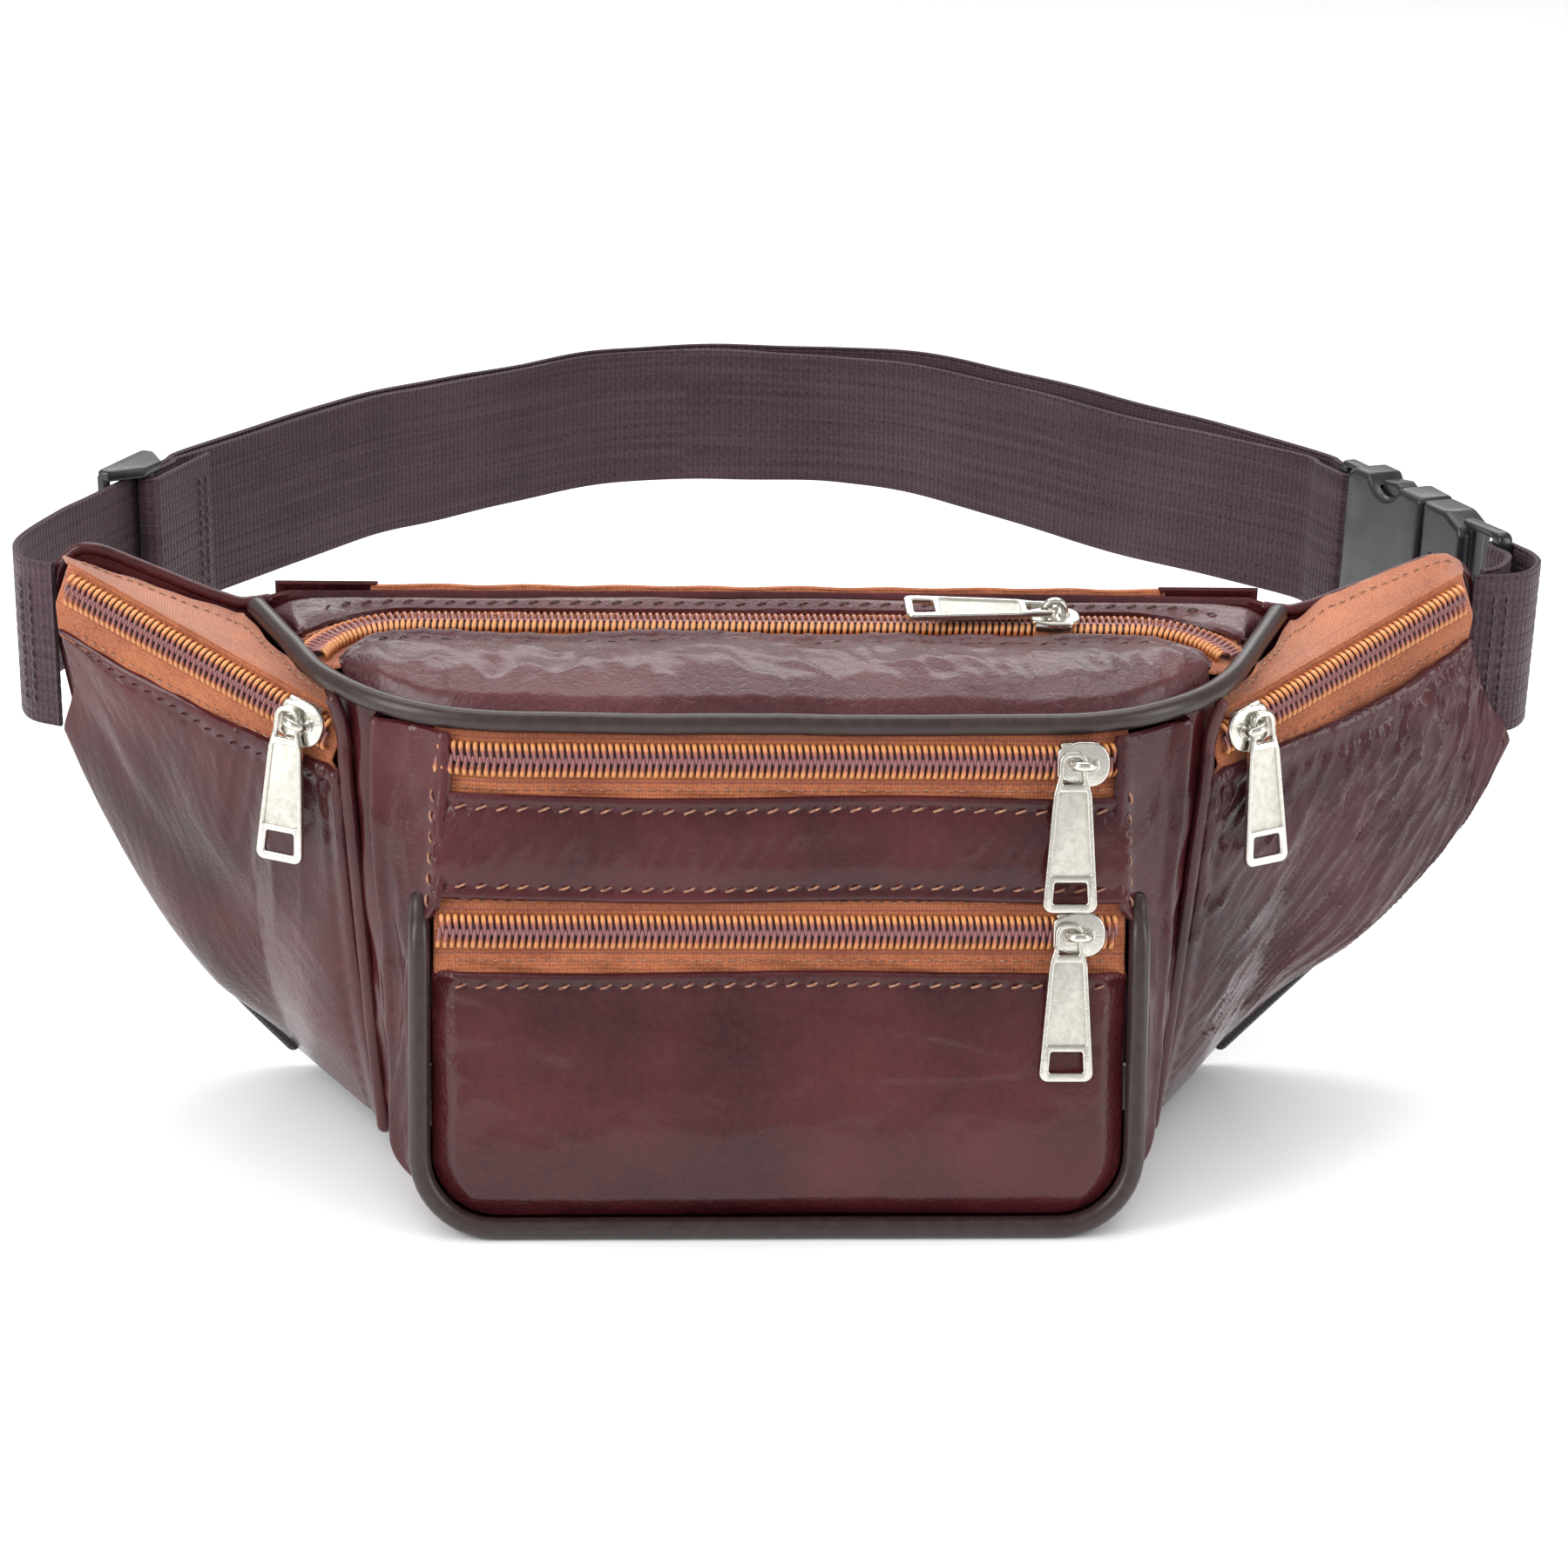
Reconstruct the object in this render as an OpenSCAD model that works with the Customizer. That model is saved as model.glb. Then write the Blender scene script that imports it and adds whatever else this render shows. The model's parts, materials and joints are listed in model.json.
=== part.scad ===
// Leather waist pack with six zipped pockets and a webbing belt, in millimetres.
// X runs to the right as seen from the front, Y from the front towards the wearer, Z up.
// The origin is on the ground, under the middle of the bag.

/* [Bag body] */
// Height of the top piping above the ground, at the front
front_h = 107.5; // [105:0.5:109]
// How far the front face leans forward between its top and its foot
front_lean = 23; // [19:1:25]
// Half the distance between the two side runs of the front piping
front_half = 75.5; // [75:0.5:76]
// Radius of the two lower corners of the bag
corner_r = 16; // [13:1:17]
// Depth of the top, from the front piping to the back panel
top_depth = 62; // [61:0.5:63]
// Rise of the top, from its front edge to its back edge
top_rise = 7; // [5:1:8]
// Radius of the round front corners of the top
top_corner_r = 50; // [48:1:51]
// Thickness of the leather panels
leather_t = 1.6; // [1.2:0.1:1.7]
// Radius of the piping cords
piping_r = 2.3; // [2:0.1:2.4]

/* [Wings] */
// Distance from the middle plane to each wing tip
wing_tip_x = 157.5; // [155:0.5:158]
// Height of the wings' lower tip corners
wing_tip_low = 82; // [78:1:84]
// How far the wings' outer leather bulges
wing_bulge = 18; // [14:1:19]

/* [Zips] */
// Radius of each of the two rows of coil
coil_r = 1.2; // [1.1:0.05:1.2]
// Thickness of the zip tapes
tape_t = 0.8; // [0.6:0.1:0.8]
// Length of a pull tab, from its eye to its lower end
pull_len = 31; // [28:1:31]
// Width of a pull tab at its lower end
pull_w = 11.6; // [10:0.2:12]
// Thickness of a pull tab
pull_t = 1.4; // [1.2:0.1:1.4]

/* [Belt] */
// Width of the webbing
web_w = 38; // [36:0.5:38]
// Thickness of one layer of webbing
web_t = 1.4; // [1.2:0.1:1.4]
// Height of the lower edge of the belt above the ground
web_z = 85; // [84:1:87]
// Half the width of the buckle
buckle_half = 23; // [23:0.5:24]
// Thickness of the buckle
buckle_t = 10; // [9.6:0.2:10.4]

/* [Hidden] */
$fn = 32;

leather = [0.26, 0.08, 0.08];
tape_orange = [0.75, 0.33, 0.12];
coil_bronze = [0.55, 0.27, 0.14];
cord_grey = [0.2, 0.17, 0.17];
nickel = [0.77, 0.74, 0.68];
webbing = [0.3, 0.2, 0.21];
plastic = [0.12, 0.12, 0.13];
lining = [0.16, 0.13, 0.13];

gap = 0.3;                                  // clearance between neighbouring pieces
y_top = -28;                                // front edge of the top
y_foot = y_top - front_lean;                // front face at the ground
y_back = y_top + top_depth;                 // front side of the back panel
lean_a = atan(front_lean / front_h);
slope_a = atan(top_rise / top_depth);
top_z = front_h + top_rise;                 // height of the top's back edge
arc_x = 55;                                 // where the top's round corners begin
arc_a = 65;                                 // angle that they turn through
arc_len = top_corner_r * arc_a * PI / 180;
outline_len = 91.5;                         // from the start of the arc to the back panel

// Front face, measured up its slope
upper_zip_v = 102;
lower_zip_v = 66;
strip_v = [72.5, 94.5];
pocket_top_v = 57.5;
tape_half = 10;
tape_top_v = 107.1;                         // the upper tape ends under the top piping
layer_z = -0.4;                             // under side of the leather on the front and the top

// Top zip, measured back from the front edge of the top
top_zip_y = 49;
top_zip_x = 78;
top_zip_r = 22;
zip_edge = 7.5;                             // from a coil to the leather beside it
top_end_a = 28;

// Coils and sliders; in their own frame the tape's outer side is z = 0
coil_y = 1.85;
coil_top = 2 * coil_r;
plate_t = 1.2;
plate_z = coil_top + gap;
flange_in = coil_y + coil_r + gap;
flange_out = flange_in + 1.3;
bow_r = 2.2;                                // radius of the bow that holds the pull
bow_wire = 0.8;
bow_z = plate_z + plate_t + 1.4;            // height of the bow's centre
eye_r = 1.45;
ring_r = 2.9;
pull_shoulder = 4;                          // half width of a pull under its eye
slider_x = 62;                              // rest place of the front and top sliders
back_zip_z = 111.5;
back_slider_x = -78;

// Wing zip: a straight line from its inner end to its tip end
wing_in = [94.5, -9, 98];
wing_out = [154, 25, 120];
wing_dir = unit(wing_out - wing_in);
wing_face = [0.45, -0.88, 0.15];
wing_n = unit(wing_face - (wing_face * wing_dir) * wing_dir);
wing_up = cross(wing_n, wing_dir);
wing_slider_s = 0.09;
wing_flat = 5;                              // half width of the tape's flat middle, under the slider
wing_hang_a = atan2(-wing_up[2], -wing_dir[2]);

// Belt, seen from above; the left end is sewn to the left wing tip
belt_start = [[-158.3, 31.5], [-166, 37], [-169, 52]];
strap_a = [-163.5, 74];                     // the straight stretch on which the triglide slides
strap_b = [-140, 133.5];
belt_outer_pts = [[-106, 184], [-74, 219], [-42, 245], [-10, 252],
                  [24, 250], [54, 242], [82, 222], [102, 198]];
belt_inner_pts = [[-104, 179], [-72, 214], [-42, 239], [-14, 246],
                  [16, 243], [38, 236], [56, 225], [76, 206]];
give_outer_pts = [[102, 198], [124, 170]];
give_inner_pts = [[76, 206], [98, 182], [120, 158]];
strap_dir = unit(strap_b - strap_a);
strap_out = [-strap_dir[1], strap_dir[0]];
glide_at = strap_a + 0.55 * (strap_b - strap_a);
fold_bar_y = -4.2;                          // centre bar of the triglide, on the waist's side
fold_r = 2.1;
fold_len = 22;
strap_mid_z = web_z + web_w / 2;

// Buckle, in its own frame: x from the female part's bar to the male part's bar
buckle_at = [149, 121];
buckle_dir = unit([23, -67]);
buckle_out = [-buckle_dir[1], buckle_dir[0]];
bar_r = 1.9;
loop_r = 2.9;
loop_len = 18;
female_x = [6.5, 40];
male_x = [40.6, 57];
male_bar_x = 68;
wall_t = 1.8;
mouth_half = buckle_half - 2.5;
prong_pivot = [38, 12];
prong_t = 5.4;

function unit(v) = v / norm(v);
function lerp(a, b, t) = a + (b - a) * t;
function at2(p, d, l) = [p[0] + d[0] * l, p[1] + d[1] * l];

// Catmull-Rom curve through points, with n steps between neighbours
function cubic(a, b, c, d, t) =
    0.5 * (2 * b + (c - a) * t + (2 * a - 5 * b + 4 * c - d) * t * t + (3 * b - a - 3 * c + d) * t * t * t);
function spline(p, n) = let (e = len(p) - 1) [
    for (i = [0:e - 1]) for (k = [0:n - 1])
        cubic(p[max(i - 1, 0)], p[i], p[i + 1], p[min(i + 2, e)], k / n),
    p[e]
];

// Outline of a strip of constant thickness along a path
function path_dir(p, i) = unit(p[min(i + 1, len(p) - 1)] - p[max(i - 1, 0)]);
function side(p, off) = [for (i = [0:len(p) - 1]) let (d = path_dir(p, i)) p[i] + off * [-d[1], d[0]]];
function reversed(p) = [for (i = [len(p) - 1:-1:0]) p[i]];
function both_sides(p) = concat(p, reversed([for (q = p) if (q[0] > 0) [-q[0], q[1]]]));
function strip_outline(p, t) = concat(side(p, t / 2), reversed(side(p, -t / 2)));

// A path without its last bit, so that two pieces in line keep a gap
function trimmed(p, cut) = let (e = len(p) - 1) concat(
    [for (i = [0:e - 1]) p[i]], [p[e] - cut * unit(p[e] - p[e - 1])]);

// Outline of the top, l along it from the start of the round corner, off outwards
function top_outline(l, off) = let (a = min(l, arc_len) / top_corner_r * 180 / PI, s = max(l - arc_len, 0))
    [arc_x + (top_corner_r + off) * sin(a) + s * cos(arc_a),
     top_corner_r - (top_corner_r + off) * cos(a) + s * sin(arc_a)];
function top_row(l, off) = let (p = top_outline(l, off)) [p[0], p[1] + y_top];
function roof_z(y) = front_h + (y - y_top) * top_rise / top_depth;

// Closed thin shell over a grid of points: grid[i][j], thickened by t against its normal
function grid_normal(g, i, j) = let (n = len(g) - 1, m = len(g[0]) - 1)
    unit(cross(g[min(i + 1, n)][j] - g[max(i - 1, 0)][j], g[i][min(j + 1, m)] - g[i][max(j - 1, 0)]));
module shell(g, t) {
    n = len(g);
    m = len(g[0]);
    outer = [for (i = [0:n - 1]) for (j = [0:m - 1]) g[i][j]];
    inner = [for (i = [0:n - 1]) for (j = [0:m - 1]) g[i][j] - t * grid_normal(g, i, j)];
    k = n * m;
    skin = [for (i = [0:n - 2]) for (j = [0:m - 2]) let (a = i * m + j)
        each [[a, a + 1, a + m + 1], [a, a + m + 1, a + m]]];
    lining_side = [for (f = skin) [f[2] + k, f[1] + k, f[0] + k]];
    rim = concat(
        [for (j = [0:m - 2]) [j, j + 1]], [for (i = [0:n - 2]) [i * m + m - 1, i * m + 2 * m - 1]],
        [for (j = [m - 1:-1:1]) [(n - 1) * m + j, (n - 1) * m + j - 1]],
        [for (i = [n - 1:-1:1]) [i * m, i * m - m]]);
    edge = [for (e = rim) each [[e[1], e[0], e[0] + k], [e[1], e[0] + k, e[1] + k]]];
    polyhedron(points = concat(outer, inner), faces = concat(skin, lining_side, edge), convexity = 6);
}

// Frames: the front face (x, up the slope, outwards) and the top (x, back, upwards)
module on_front() translate([0, y_foot, 0]) rotate([90 - lean_a, 0, 0]) children();
module on_top() translate([0, y_top, front_h]) rotate([slope_a, 0, 0]) children();
module mirrored() mirror([1, 0, 0]) children();

// A zip's frame: x the way it opens, z out of the tape
module zip_frame(at, d, n) {
    w = cross(n, d);
    multmatrix([[d[0], w[0], n[0], at[0]], [d[1], w[1], n[1], at[1]], [d[2], w[2], n[2], at[2]]]) children();
}
module front_zip_frame(v, x) {
    on_front() translate([x, v, layer_z - 0.2]) mirror([0, 1, 0]) mirror([1, 0, 0]) children();
}
module top_zip_frame(x) on_top() translate([x, top_zip_y, layer_z - 0.2]) rotate([0, 0, 180]) children();
module back_zip_frame(x)
    zip_frame([x, y_back + leather_t + gap + tape_t, back_zip_z], [1, 0, 0], [0, 1, 0]) children();
module wing_zip_frame(s) zip_frame(lerp(wing_in, wing_out, s), wing_dir, wing_n) children();

// Zip pieces that repeat
module coil(len) translate([-len / 2, 0, 0]) {
    for (s = [-1, 1]) translate([0, s * coil_y, coil_r + 0.05])
        rotate([0, 90, 0]) cylinder(r = coil_r, h = len);
    translate([0, -coil_y, coil_r * 0.5]) cube([len, 2 * coil_y, coil_r]);
}
module slider() color(nickel) {
    translate([0, 0, plate_z]) linear_extrude(plate_t) {
        translate([-1, 0]) circle(r = flange_out);
        translate([-1, -flange_out + 0.6]) square([6, 2 * flange_out - 1.2]);
    }
    for (s = [-1, 1]) translate([-3.5, s * (flange_in + flange_out) / 2 - 0.65, gap])
        cube([8, 1.3, plate_z + plate_t / 2 - gap]);
    for (s = [-1, 1]) translate([s * bow_r, 0, plate_z + plate_t / 2])
        cylinder(r = bow_wire, h = bow_z - plate_z - plate_t / 2);
    translate([0, 0, bow_z]) rotate([90, 0, 0])
        rotate_extrude(angle = 180) translate([bow_r, 0]) circle(r = bow_wire);
}
module pull(angle) color(nickel) translate([bow_r, 0, bow_z]) rotate([0, 0, angle])
    linear_extrude(pull_t, center = true) difference() {
        union() {
            circle(r = ring_r);
            polygon([[0, -ring_r], [2.5, -ring_r], [5.5, -pull_shoulder], [pull_len - 1.5, -pull_w / 2],
                     [pull_len, 1.5 - pull_w / 2], [pull_len, pull_w / 2 - 1.5], [pull_len - 1.5, pull_w / 2],
                     [5.5, pull_shoulder], [2.5, ring_r], [0, ring_r]]);
        }
        circle(r = eye_r);
        translate([pull_len - 6.5, -3.4]) square([4.5, 6.8]);
    }

// Back: one plate across bag and wings, and a pocket layer behind it
function wing_low(s) = s < 0.35
    ? lerp([85, -12, 8], [108, y_back - 0.8, 5], s / 0.35)
    : let (q = (s - 0.35) / 0.65)
        lerp([108, y_back - 0.8, 5], [wing_tip_x, y_back - 1, wing_tip_low], q) + [7 * sin(180 * q), 0, 0];
back_low = [for (k = [0:8]) let (p = wing_low(0.35 + 0.65 * k / 8)) [p[0] + 1, p[2] - 1]];
back_half = concat([[0, 1], [100, 1]], back_low, [
    [wing_tip_x + 1, 118], [wing_tip_x - 3, 126], [148, 126], [118, 113.5],
    [108, top_z + 1], [0, top_z + 1.5]
]);
module back_panel() color(leather) translate([0, y_back, 0]) rotate([90, 0, 0]) mirror([0, 0, 1])
    linear_extrude(leather_t) polygon(both_sides(back_half));
module back_pocket_panel() color(leather)
    translate([0, y_back + leather_t + gap, 0]) rotate([90, 0, 0]) mirror([0, 0, 1])
        linear_extrude(leather_t)
            polygon([[-94, 3], [94, 3], [112, 50], [112, 104.6], [-112, 104.6], [-112, 50]]);
module back_binding() color(plastic) translate([0, y_back - 0.6, 0]) rotate([90, 0, 0]) mirror([0, 0, 1])
    linear_extrude(leather_t + 1.2) {
        right_run = [for (p = back_low) p + [2.2, -0.8]];
        left_run = reversed([for (p = right_run) [-p[0], p[1]]]);
        polygon(strip_outline(right_run, 1.8));
        polygon(strip_outline(left_run, 1.8));
    }
module back_tab() color(leather) translate([88, y_back + leather_t + gap, 105.2]) cube([22, 2.2, 12.4]);

// Base and gussets
function bag_side(t, z) = let (
        top = top_row(lerp(18.5, outline_len - 1, t), 0),
        foot = lerp(lerp([77, y_foot + 2.8], [83, -20], t), lerp([83, -20], [91, y_back - gap - 0.4], t), t))
    lerp(foot, top, z / front_h);
function gusset_in(t) = 2.4 * min(1, 4 * t);  // keeps clear of the wings, which lap over the gussets
function gusset_point(t, w) = w < 0.7
    ? let (top = bag_side(t, front_h), z = lerp(roof_z(top[1]) - 3.4, corner_r, w / 0.7), p = bag_side(t, z))
        [p[0] - gusset_in(t), min(p[1], y_back - gap), z]
    : let (a = (w - 0.7) / 0.3 * 90, z = corner_r * (1 - sin(a)), p = bag_side(t, z))
        [p[0] - gusset_in(t) - corner_r * (1 - cos(a)), min(p[1], y_back - gap), z];
module gusset() color(leather)
    shell([for (i = [0:10]) [for (j = [0:11]) gusset_point(i / 10, j / 11)]], -leather_t);
module base_panel() color(leather) {
    front = bag_side(0, 0);
    back = bag_side(1, 0);
    inset = gusset_in(1) + corner_r + gap;
    half = [[front[0] - inset, front[1]], [back[0] - inset, y_back - gap]];
    linear_extrude(leather_t)
        polygon([[-half[0][0], half[0][1]], half[0], half[1], [-half[1][0], half[1][1]]]);
}

// Front face
module face_plate(v0, v1, half) translate([-half, v0, layer_z]) cube([2 * half, v1 - v0, leather_t]);
module front_strip() color(leather) on_front() face_plate(strip_v[0], strip_v[1], 72.5);
module front_pocket_panel() color(leather) on_front() translate([0, 0, layer_z]) linear_extrude(leather_t) {
    half = front_half - piping_r - gap;
    low = 2 * piping_r + gap;
    r = corner_r - piping_r;
    polygon(concat(
        [[half, pocket_top_v], [-half, pocket_top_v]],
        [for (a = [180:15:270]) [-half + r + r * cos(a), low + r + r * sin(a)]],
        [for (a = [270:15:360]) [half - r + r * cos(a), low + r + r * sin(a)]]));
}
module front_piping() color(cord_grey) on_front() {
    for (s = [-1, 1]) {
        translate([s * front_half, corner_r + piping_r, 0]) rotate([-90, 0, 0])
            cylinder(r = piping_r, h = strip_v[0] - 1 - corner_r - piping_r);
        translate([s * (front_half - corner_r), corner_r + piping_r, 0]) rotate([0, 0, s > 0 ? 270 : 180])
            rotate_extrude(angle = 90) translate([corner_r, 0]) circle(r = piping_r);
    }
    translate([corner_r - front_half, piping_r, 0]) rotate([0, 90, 0])
        cylinder(r = piping_r, h = 2 * (front_half - corner_r));
}
module face_tape(v) color(tape_orange) on_front() translate([-72, v - tape_half, layer_z - 0.2 - tape_t])
    cube([144, min(2 * tape_half, tape_top_v - v + tape_half), tape_t]);
module face_coil(v) color(coil_bronze) front_zip_frame(v, 0) coil(143);
module front_divider() color(lining) on_front() translate([-70, 6, -10]) cube([140, 98, tape_t]);

// Top
function top_half(off) = concat(
    [[0, -off]], [for (k = [0:7]) top_outline(arc_len * k / 7, off)],
    [top_outline(outline_len, off)], [[0, top_outline(outline_len, off)[1]]]);
module top_area(off) polygon(both_sides(top_half(off)));
module zip_inside(off) translate([0, -20]) {
    r = top_zip_r + off;
    square([2 * (top_zip_x + r), 2 * (top_zip_y - top_zip_r + 20)], center = true);
    translate([-top_zip_x, 0]) square([2 * top_zip_x, top_zip_y + off + 20]);
    for (s = [-1, 1]) translate([s * top_zip_x, top_zip_y - top_zip_r + 20]) circle(r = r, $fn = 64);
}
module top_panel() color(leather) on_top() translate([0, 0, layer_z]) linear_extrude(leather_t)
    intersection() { top_area(-piping_r - gap); zip_inside(-zip_edge); }
module top_rear_strip() color(leather) on_top() translate([0, 0, layer_z]) linear_extrude(leather_t)
    difference() { top_area(-piping_r - gap); zip_inside(zip_edge); }
module top_tape() color(tape_orange) on_top() translate([0, 0, layer_z - 0.2 - tape_t]) linear_extrude(tape_t)
    intersection() {
        top_area(-piping_r - gap);
        difference() { zip_inside(tape_half); zip_inside(-tape_half); }
    }
module top_coil() color(coil_bronze) {
    top_zip_frame(0) coil(2 * top_zip_x - 0.1);
    on_top() for (s = [-1, 1]) translate([s * top_zip_x, top_zip_y - top_zip_r, layer_z - 0.2])
        rotate([0, 0, s > 0 ? top_end_a : 90]) rotate_extrude(angle = 90 - top_end_a) {
            for (q = [-1, 1]) translate([top_zip_r + q * coil_y, coil_r + 0.05]) circle(r = coil_r);
            translate([top_zip_r - coil_y, coil_r * 0.5]) square([2 * coil_y, coil_r]);
        }
}
module top_piping_side() translate([arc_x, top_corner_r, 0]) rotate([0, 0, 270 + arc_a]) {
    mirror([0, 1, 0]) rotate_extrude(angle = arc_a, $fn = 96)
        translate([top_corner_r, 0]) circle(r = piping_r, $fn = 32);
    translate([top_corner_r, 0, 0]) rotate([-90, 0, 0]) cylinder(r = piping_r, h = outline_len - arc_len - 3);
}
module top_piping() color(cord_grey) on_top() {
    translate([0.1 - arc_x, 0, 0]) rotate([0, 90, 0]) cylinder(r = piping_r, h = 2 * arc_x - 0.2);
    top_piping_side();
    mirrored() top_piping_side();
}

// Wings: outer leather and the tape across their top
function wing_edge(s) = lerp([93, -13.5, 91], [wing_tip_x - 0.5, 24, 110], s) - [0, 0, 2 * sin(180 * s)];
function wing_point(s, v) = let (
        a = wing_edge(s), b = wing_low(s),
        m = (a + b) / 2 + wing_bulge * sin(180 * pow(s, 0.6)) * [0.2, -0.75, -0.63])
    lerp(lerp(a, m, v), lerp(m, b, v), v);
function wing_crest(s) = s < 0.4
    ? let (p = top_row(lerp(46, outline_len - 2, s / 0.4), piping_r + 0.9)) [p[0], p[1], roof_z(p[1]) - 1.5]
    : lerp([118.5, y_back - 1.5, 111.5], [wing_tip_x - 1.5, y_back - 1.6, 124.5], (s - 0.4) / 0.6);
function wing_tape_point(s, u) = let (c = lerp(wing_in, wing_out, s), e = wing_edge(s))
    u == 0 ? e + 0.6 * unit(c - e)
    : u == 1 ? c - wing_flat * wing_up
    : u == 2 ? c + wing_flat * wing_up
    : wing_crest(s);
module wing_panel() color(leather)
    shell([for (i = [0:12]) [for (j = [0:8]) wing_point(i / 12, j / 8)]], -leather_t);
module wing_tape() color(tape_orange)
    shell([for (i = [0:10]) [for (j = [0:3]) wing_tape_point(i / 10, j)]], tape_t);
module wing_coil() color(coil_bronze) wing_zip_frame(0.5) coil(norm(wing_out - wing_in) - 1);

// Belt
module web(path) translate([0, 0, web_z]) linear_extrude(web_w) polygon(strip_outline(path, web_t));
module belt_outer() color(webbing) web(concat(
    spline(concat(belt_start, [strap_a]), 5),
    trimmed(spline(concat([strap_b], belt_outer_pts), 4), gap)));
module belt_inner() color(webbing) {
    from = at2(at2(glide_at, strap_dir, fold_len + gap), strap_out, fold_bar_y + fold_r);
    web(trimmed(spline(concat([from], belt_inner_pts), 4), gap));
}
function loop_end(s) = at2(at2(buckle_at, buckle_dir, -loop_len - gap), buckle_out, s * loop_r);
module belt_give() color(webbing) {
    web(spline(concat(give_outer_pts, [loop_end(1)]), 4));
    web(spline(concat(give_inner_pts, [loop_end(-1)]), 4));
}
module strap_frame() translate([glide_at[0], glide_at[1], strap_mid_z])
    rotate([0, 0, atan2(strap_dir[1], strap_dir[0])]) children();
module buckle_frame() translate([buckle_at[0], buckle_at[1], strap_mid_z])
    rotate([0, 0, atan2(buckle_dir[1], buckle_dir[0])]) children();

// Webbing round a bar: half a turn, and two legs along x
module bar_loop(r, t, leg, h) translate([0, 0, -h / 2]) {
    rotate([0, 0, -90]) rotate_extrude(angle = 180) translate([r - t / 2, 0]) square([t, h]);
    for (s = [-1, 1]) translate([-leg, s * r - t / 2, 0]) cube([leg, t, h]);
}
module belt_fold() color(webbing) strap_frame() translate([0, fold_bar_y, 0])
    rotate([0, 0, 180]) bar_loop(fold_r, 1.2, fold_len, web_w);
module belt_loop() color(webbing) buckle_frame() bar_loop(loop_r, web_t, loop_len, web_w);
module belt_short() color(webbing) {
    buckle_frame() translate([male_bar_x, 0, 0]) rotate([0, 0, 180]) bar_loop(loop_r, web_t, 3, web_w);
    from = at2(buckle_at, buckle_dir, male_bar_x + 3);
    a = at2(from, buckle_out, loop_r);
    b = at2(from, buckle_out, -loop_r);
    web(spline([a, at2(a, buckle_dir, 5), [176, 43], [171.5, 35], [165, 32], [158.3, 31.5]], 4));
    web(spline([b, at2(b, buckle_dir, 4), [169, 44], [165.5, 38.5], [161, 35.5]], 3));
}
module triglide() color(plastic) strap_frame() {
    rail = 2.6;
    for (s = [-1, 1]) translate([-11, fold_bar_y - 1.2, s * (web_w / 2 + 0.5 + rail / 2) - rail / 2])
        cube([22, 3.9 - fold_bar_y, rail]);
    translate([0, fold_bar_y, -web_w / 2 - 1.5]) cylinder(r = 1.2, h = web_w + 3);
    for (s = [-1, 1]) translate([s * 9.6, 2.6 - 1.2, -web_w / 2 - 1.5])
        translate([-1.3, 0, 0]) cube([2.6, 2.4, web_w + 3]);
}

// Buckle
module side_plan(x0, x1, half, thick) translate([x0, -thick / 2, -half]) cube([x1 - x0, thick, 2 * half]);
module buckle_bar(x) translate([x, 0, -buckle_half + 1]) cylinder(r = bar_r, h = 2 * buckle_half - 2);
module buckle_rails(x0, x1) for (s = [-1, 1])
    translate([x0, -bar_r, s * (buckle_half - 1.4) - 1.4]) cube([x1 - x0, 2 * bar_r, 2.8]);
module buckle_female() color(plastic) buckle_frame() {
    buckle_bar(0);
    buckle_rails(0, female_x[0] + 1);
    difference() {
        side_plan(female_x[0], female_x[1], buckle_half, buckle_t);
        side_plan(female_x[0] + wall_t, female_x[1] + 1, mouth_half, buckle_t - 2 * wall_t);
        for (s = [-1, 1]) translate([23.5, 0, s * (mouth_half + 6.5)]) rotate([90, 0, 0])
            cylinder(r = 8, h = buckle_t + 2, center = true, $fn = 64);
    }
}
module buckle_male() color(plastic) buckle_frame() {
    side_plan(male_x[0], male_x[1], buckle_half - 0.6, buckle_t - 1);
    side_plan(12, male_x[0] + 1, 5, 5);
    buckle_rails(male_x[1] - 1, male_bar_x);
    buckle_bar(male_bar_x);
}
module prong() color(plastic) buckle_frame() rotate([90, 0, 0]) linear_extrude(prong_t, center = true)
    polygon(concat([for (a = [-75:15:75]) prong_pivot + 2.2 * [cos(a), sin(a)]], [
        [27.5, 16.8], [27.5, 22], [25.5, 22.8], [19.8, 22], [19.3, 19.6],
        [12.5, 13], [13, 11], [20, 12], [30, 11.5]
    ]));
module prong_lower_half() translate([0, 0, 2 * strap_mid_z]) mirror([0, 0, 1]) children();

back_panel();
back_pocket_panel();
back_binding();
mirrored() back_tab();  // back_tab_left
back_tab();  // back_tab_right
base_panel();
mirrored() gusset();  // gusset_left
gusset();  // gusset_right
front_divider();
front_strip();
front_pocket_panel();
front_piping();
top_panel();
top_rear_strip();
top_piping();
mirrored() wing_panel();  // wing_panel_left
wing_panel();  // wing_panel_right
face_tape(upper_zip_v);  // front_upper_tape
face_tape(lower_zip_v);  // front_lower_tape
top_tape();
color(tape_orange) back_zip_frame(0) translate([-87.5, -6, -tape_t]) cube([175, 12.4, tape_t]);  // back_tape
mirrored() wing_tape();  // wing_left_tape
wing_tape();  // wing_right_tape
face_coil(upper_zip_v);  // front_upper_coil
face_coil(lower_zip_v);  // front_lower_coil
top_coil();
color(coil_bronze) back_zip_frame(0) coil(175);  // back_coil
mirrored() wing_coil();  // wing_left_coil
wing_coil();  // wing_right_coil
front_zip_frame(upper_zip_v, slider_x) slider();  // front_upper_slider
front_zip_frame(lower_zip_v, slider_x) slider();  // front_lower_slider
top_zip_frame(slider_x) slider();  // top_slider
back_zip_frame(back_slider_x) slider();  // back_slider
mirrored() wing_zip_frame(wing_slider_s) slider();  // wing_left_slider
wing_zip_frame(wing_slider_s) slider();  // wing_right_slider
front_zip_frame(upper_zip_v, slider_x) pull(90);  // front_upper_pull
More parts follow.
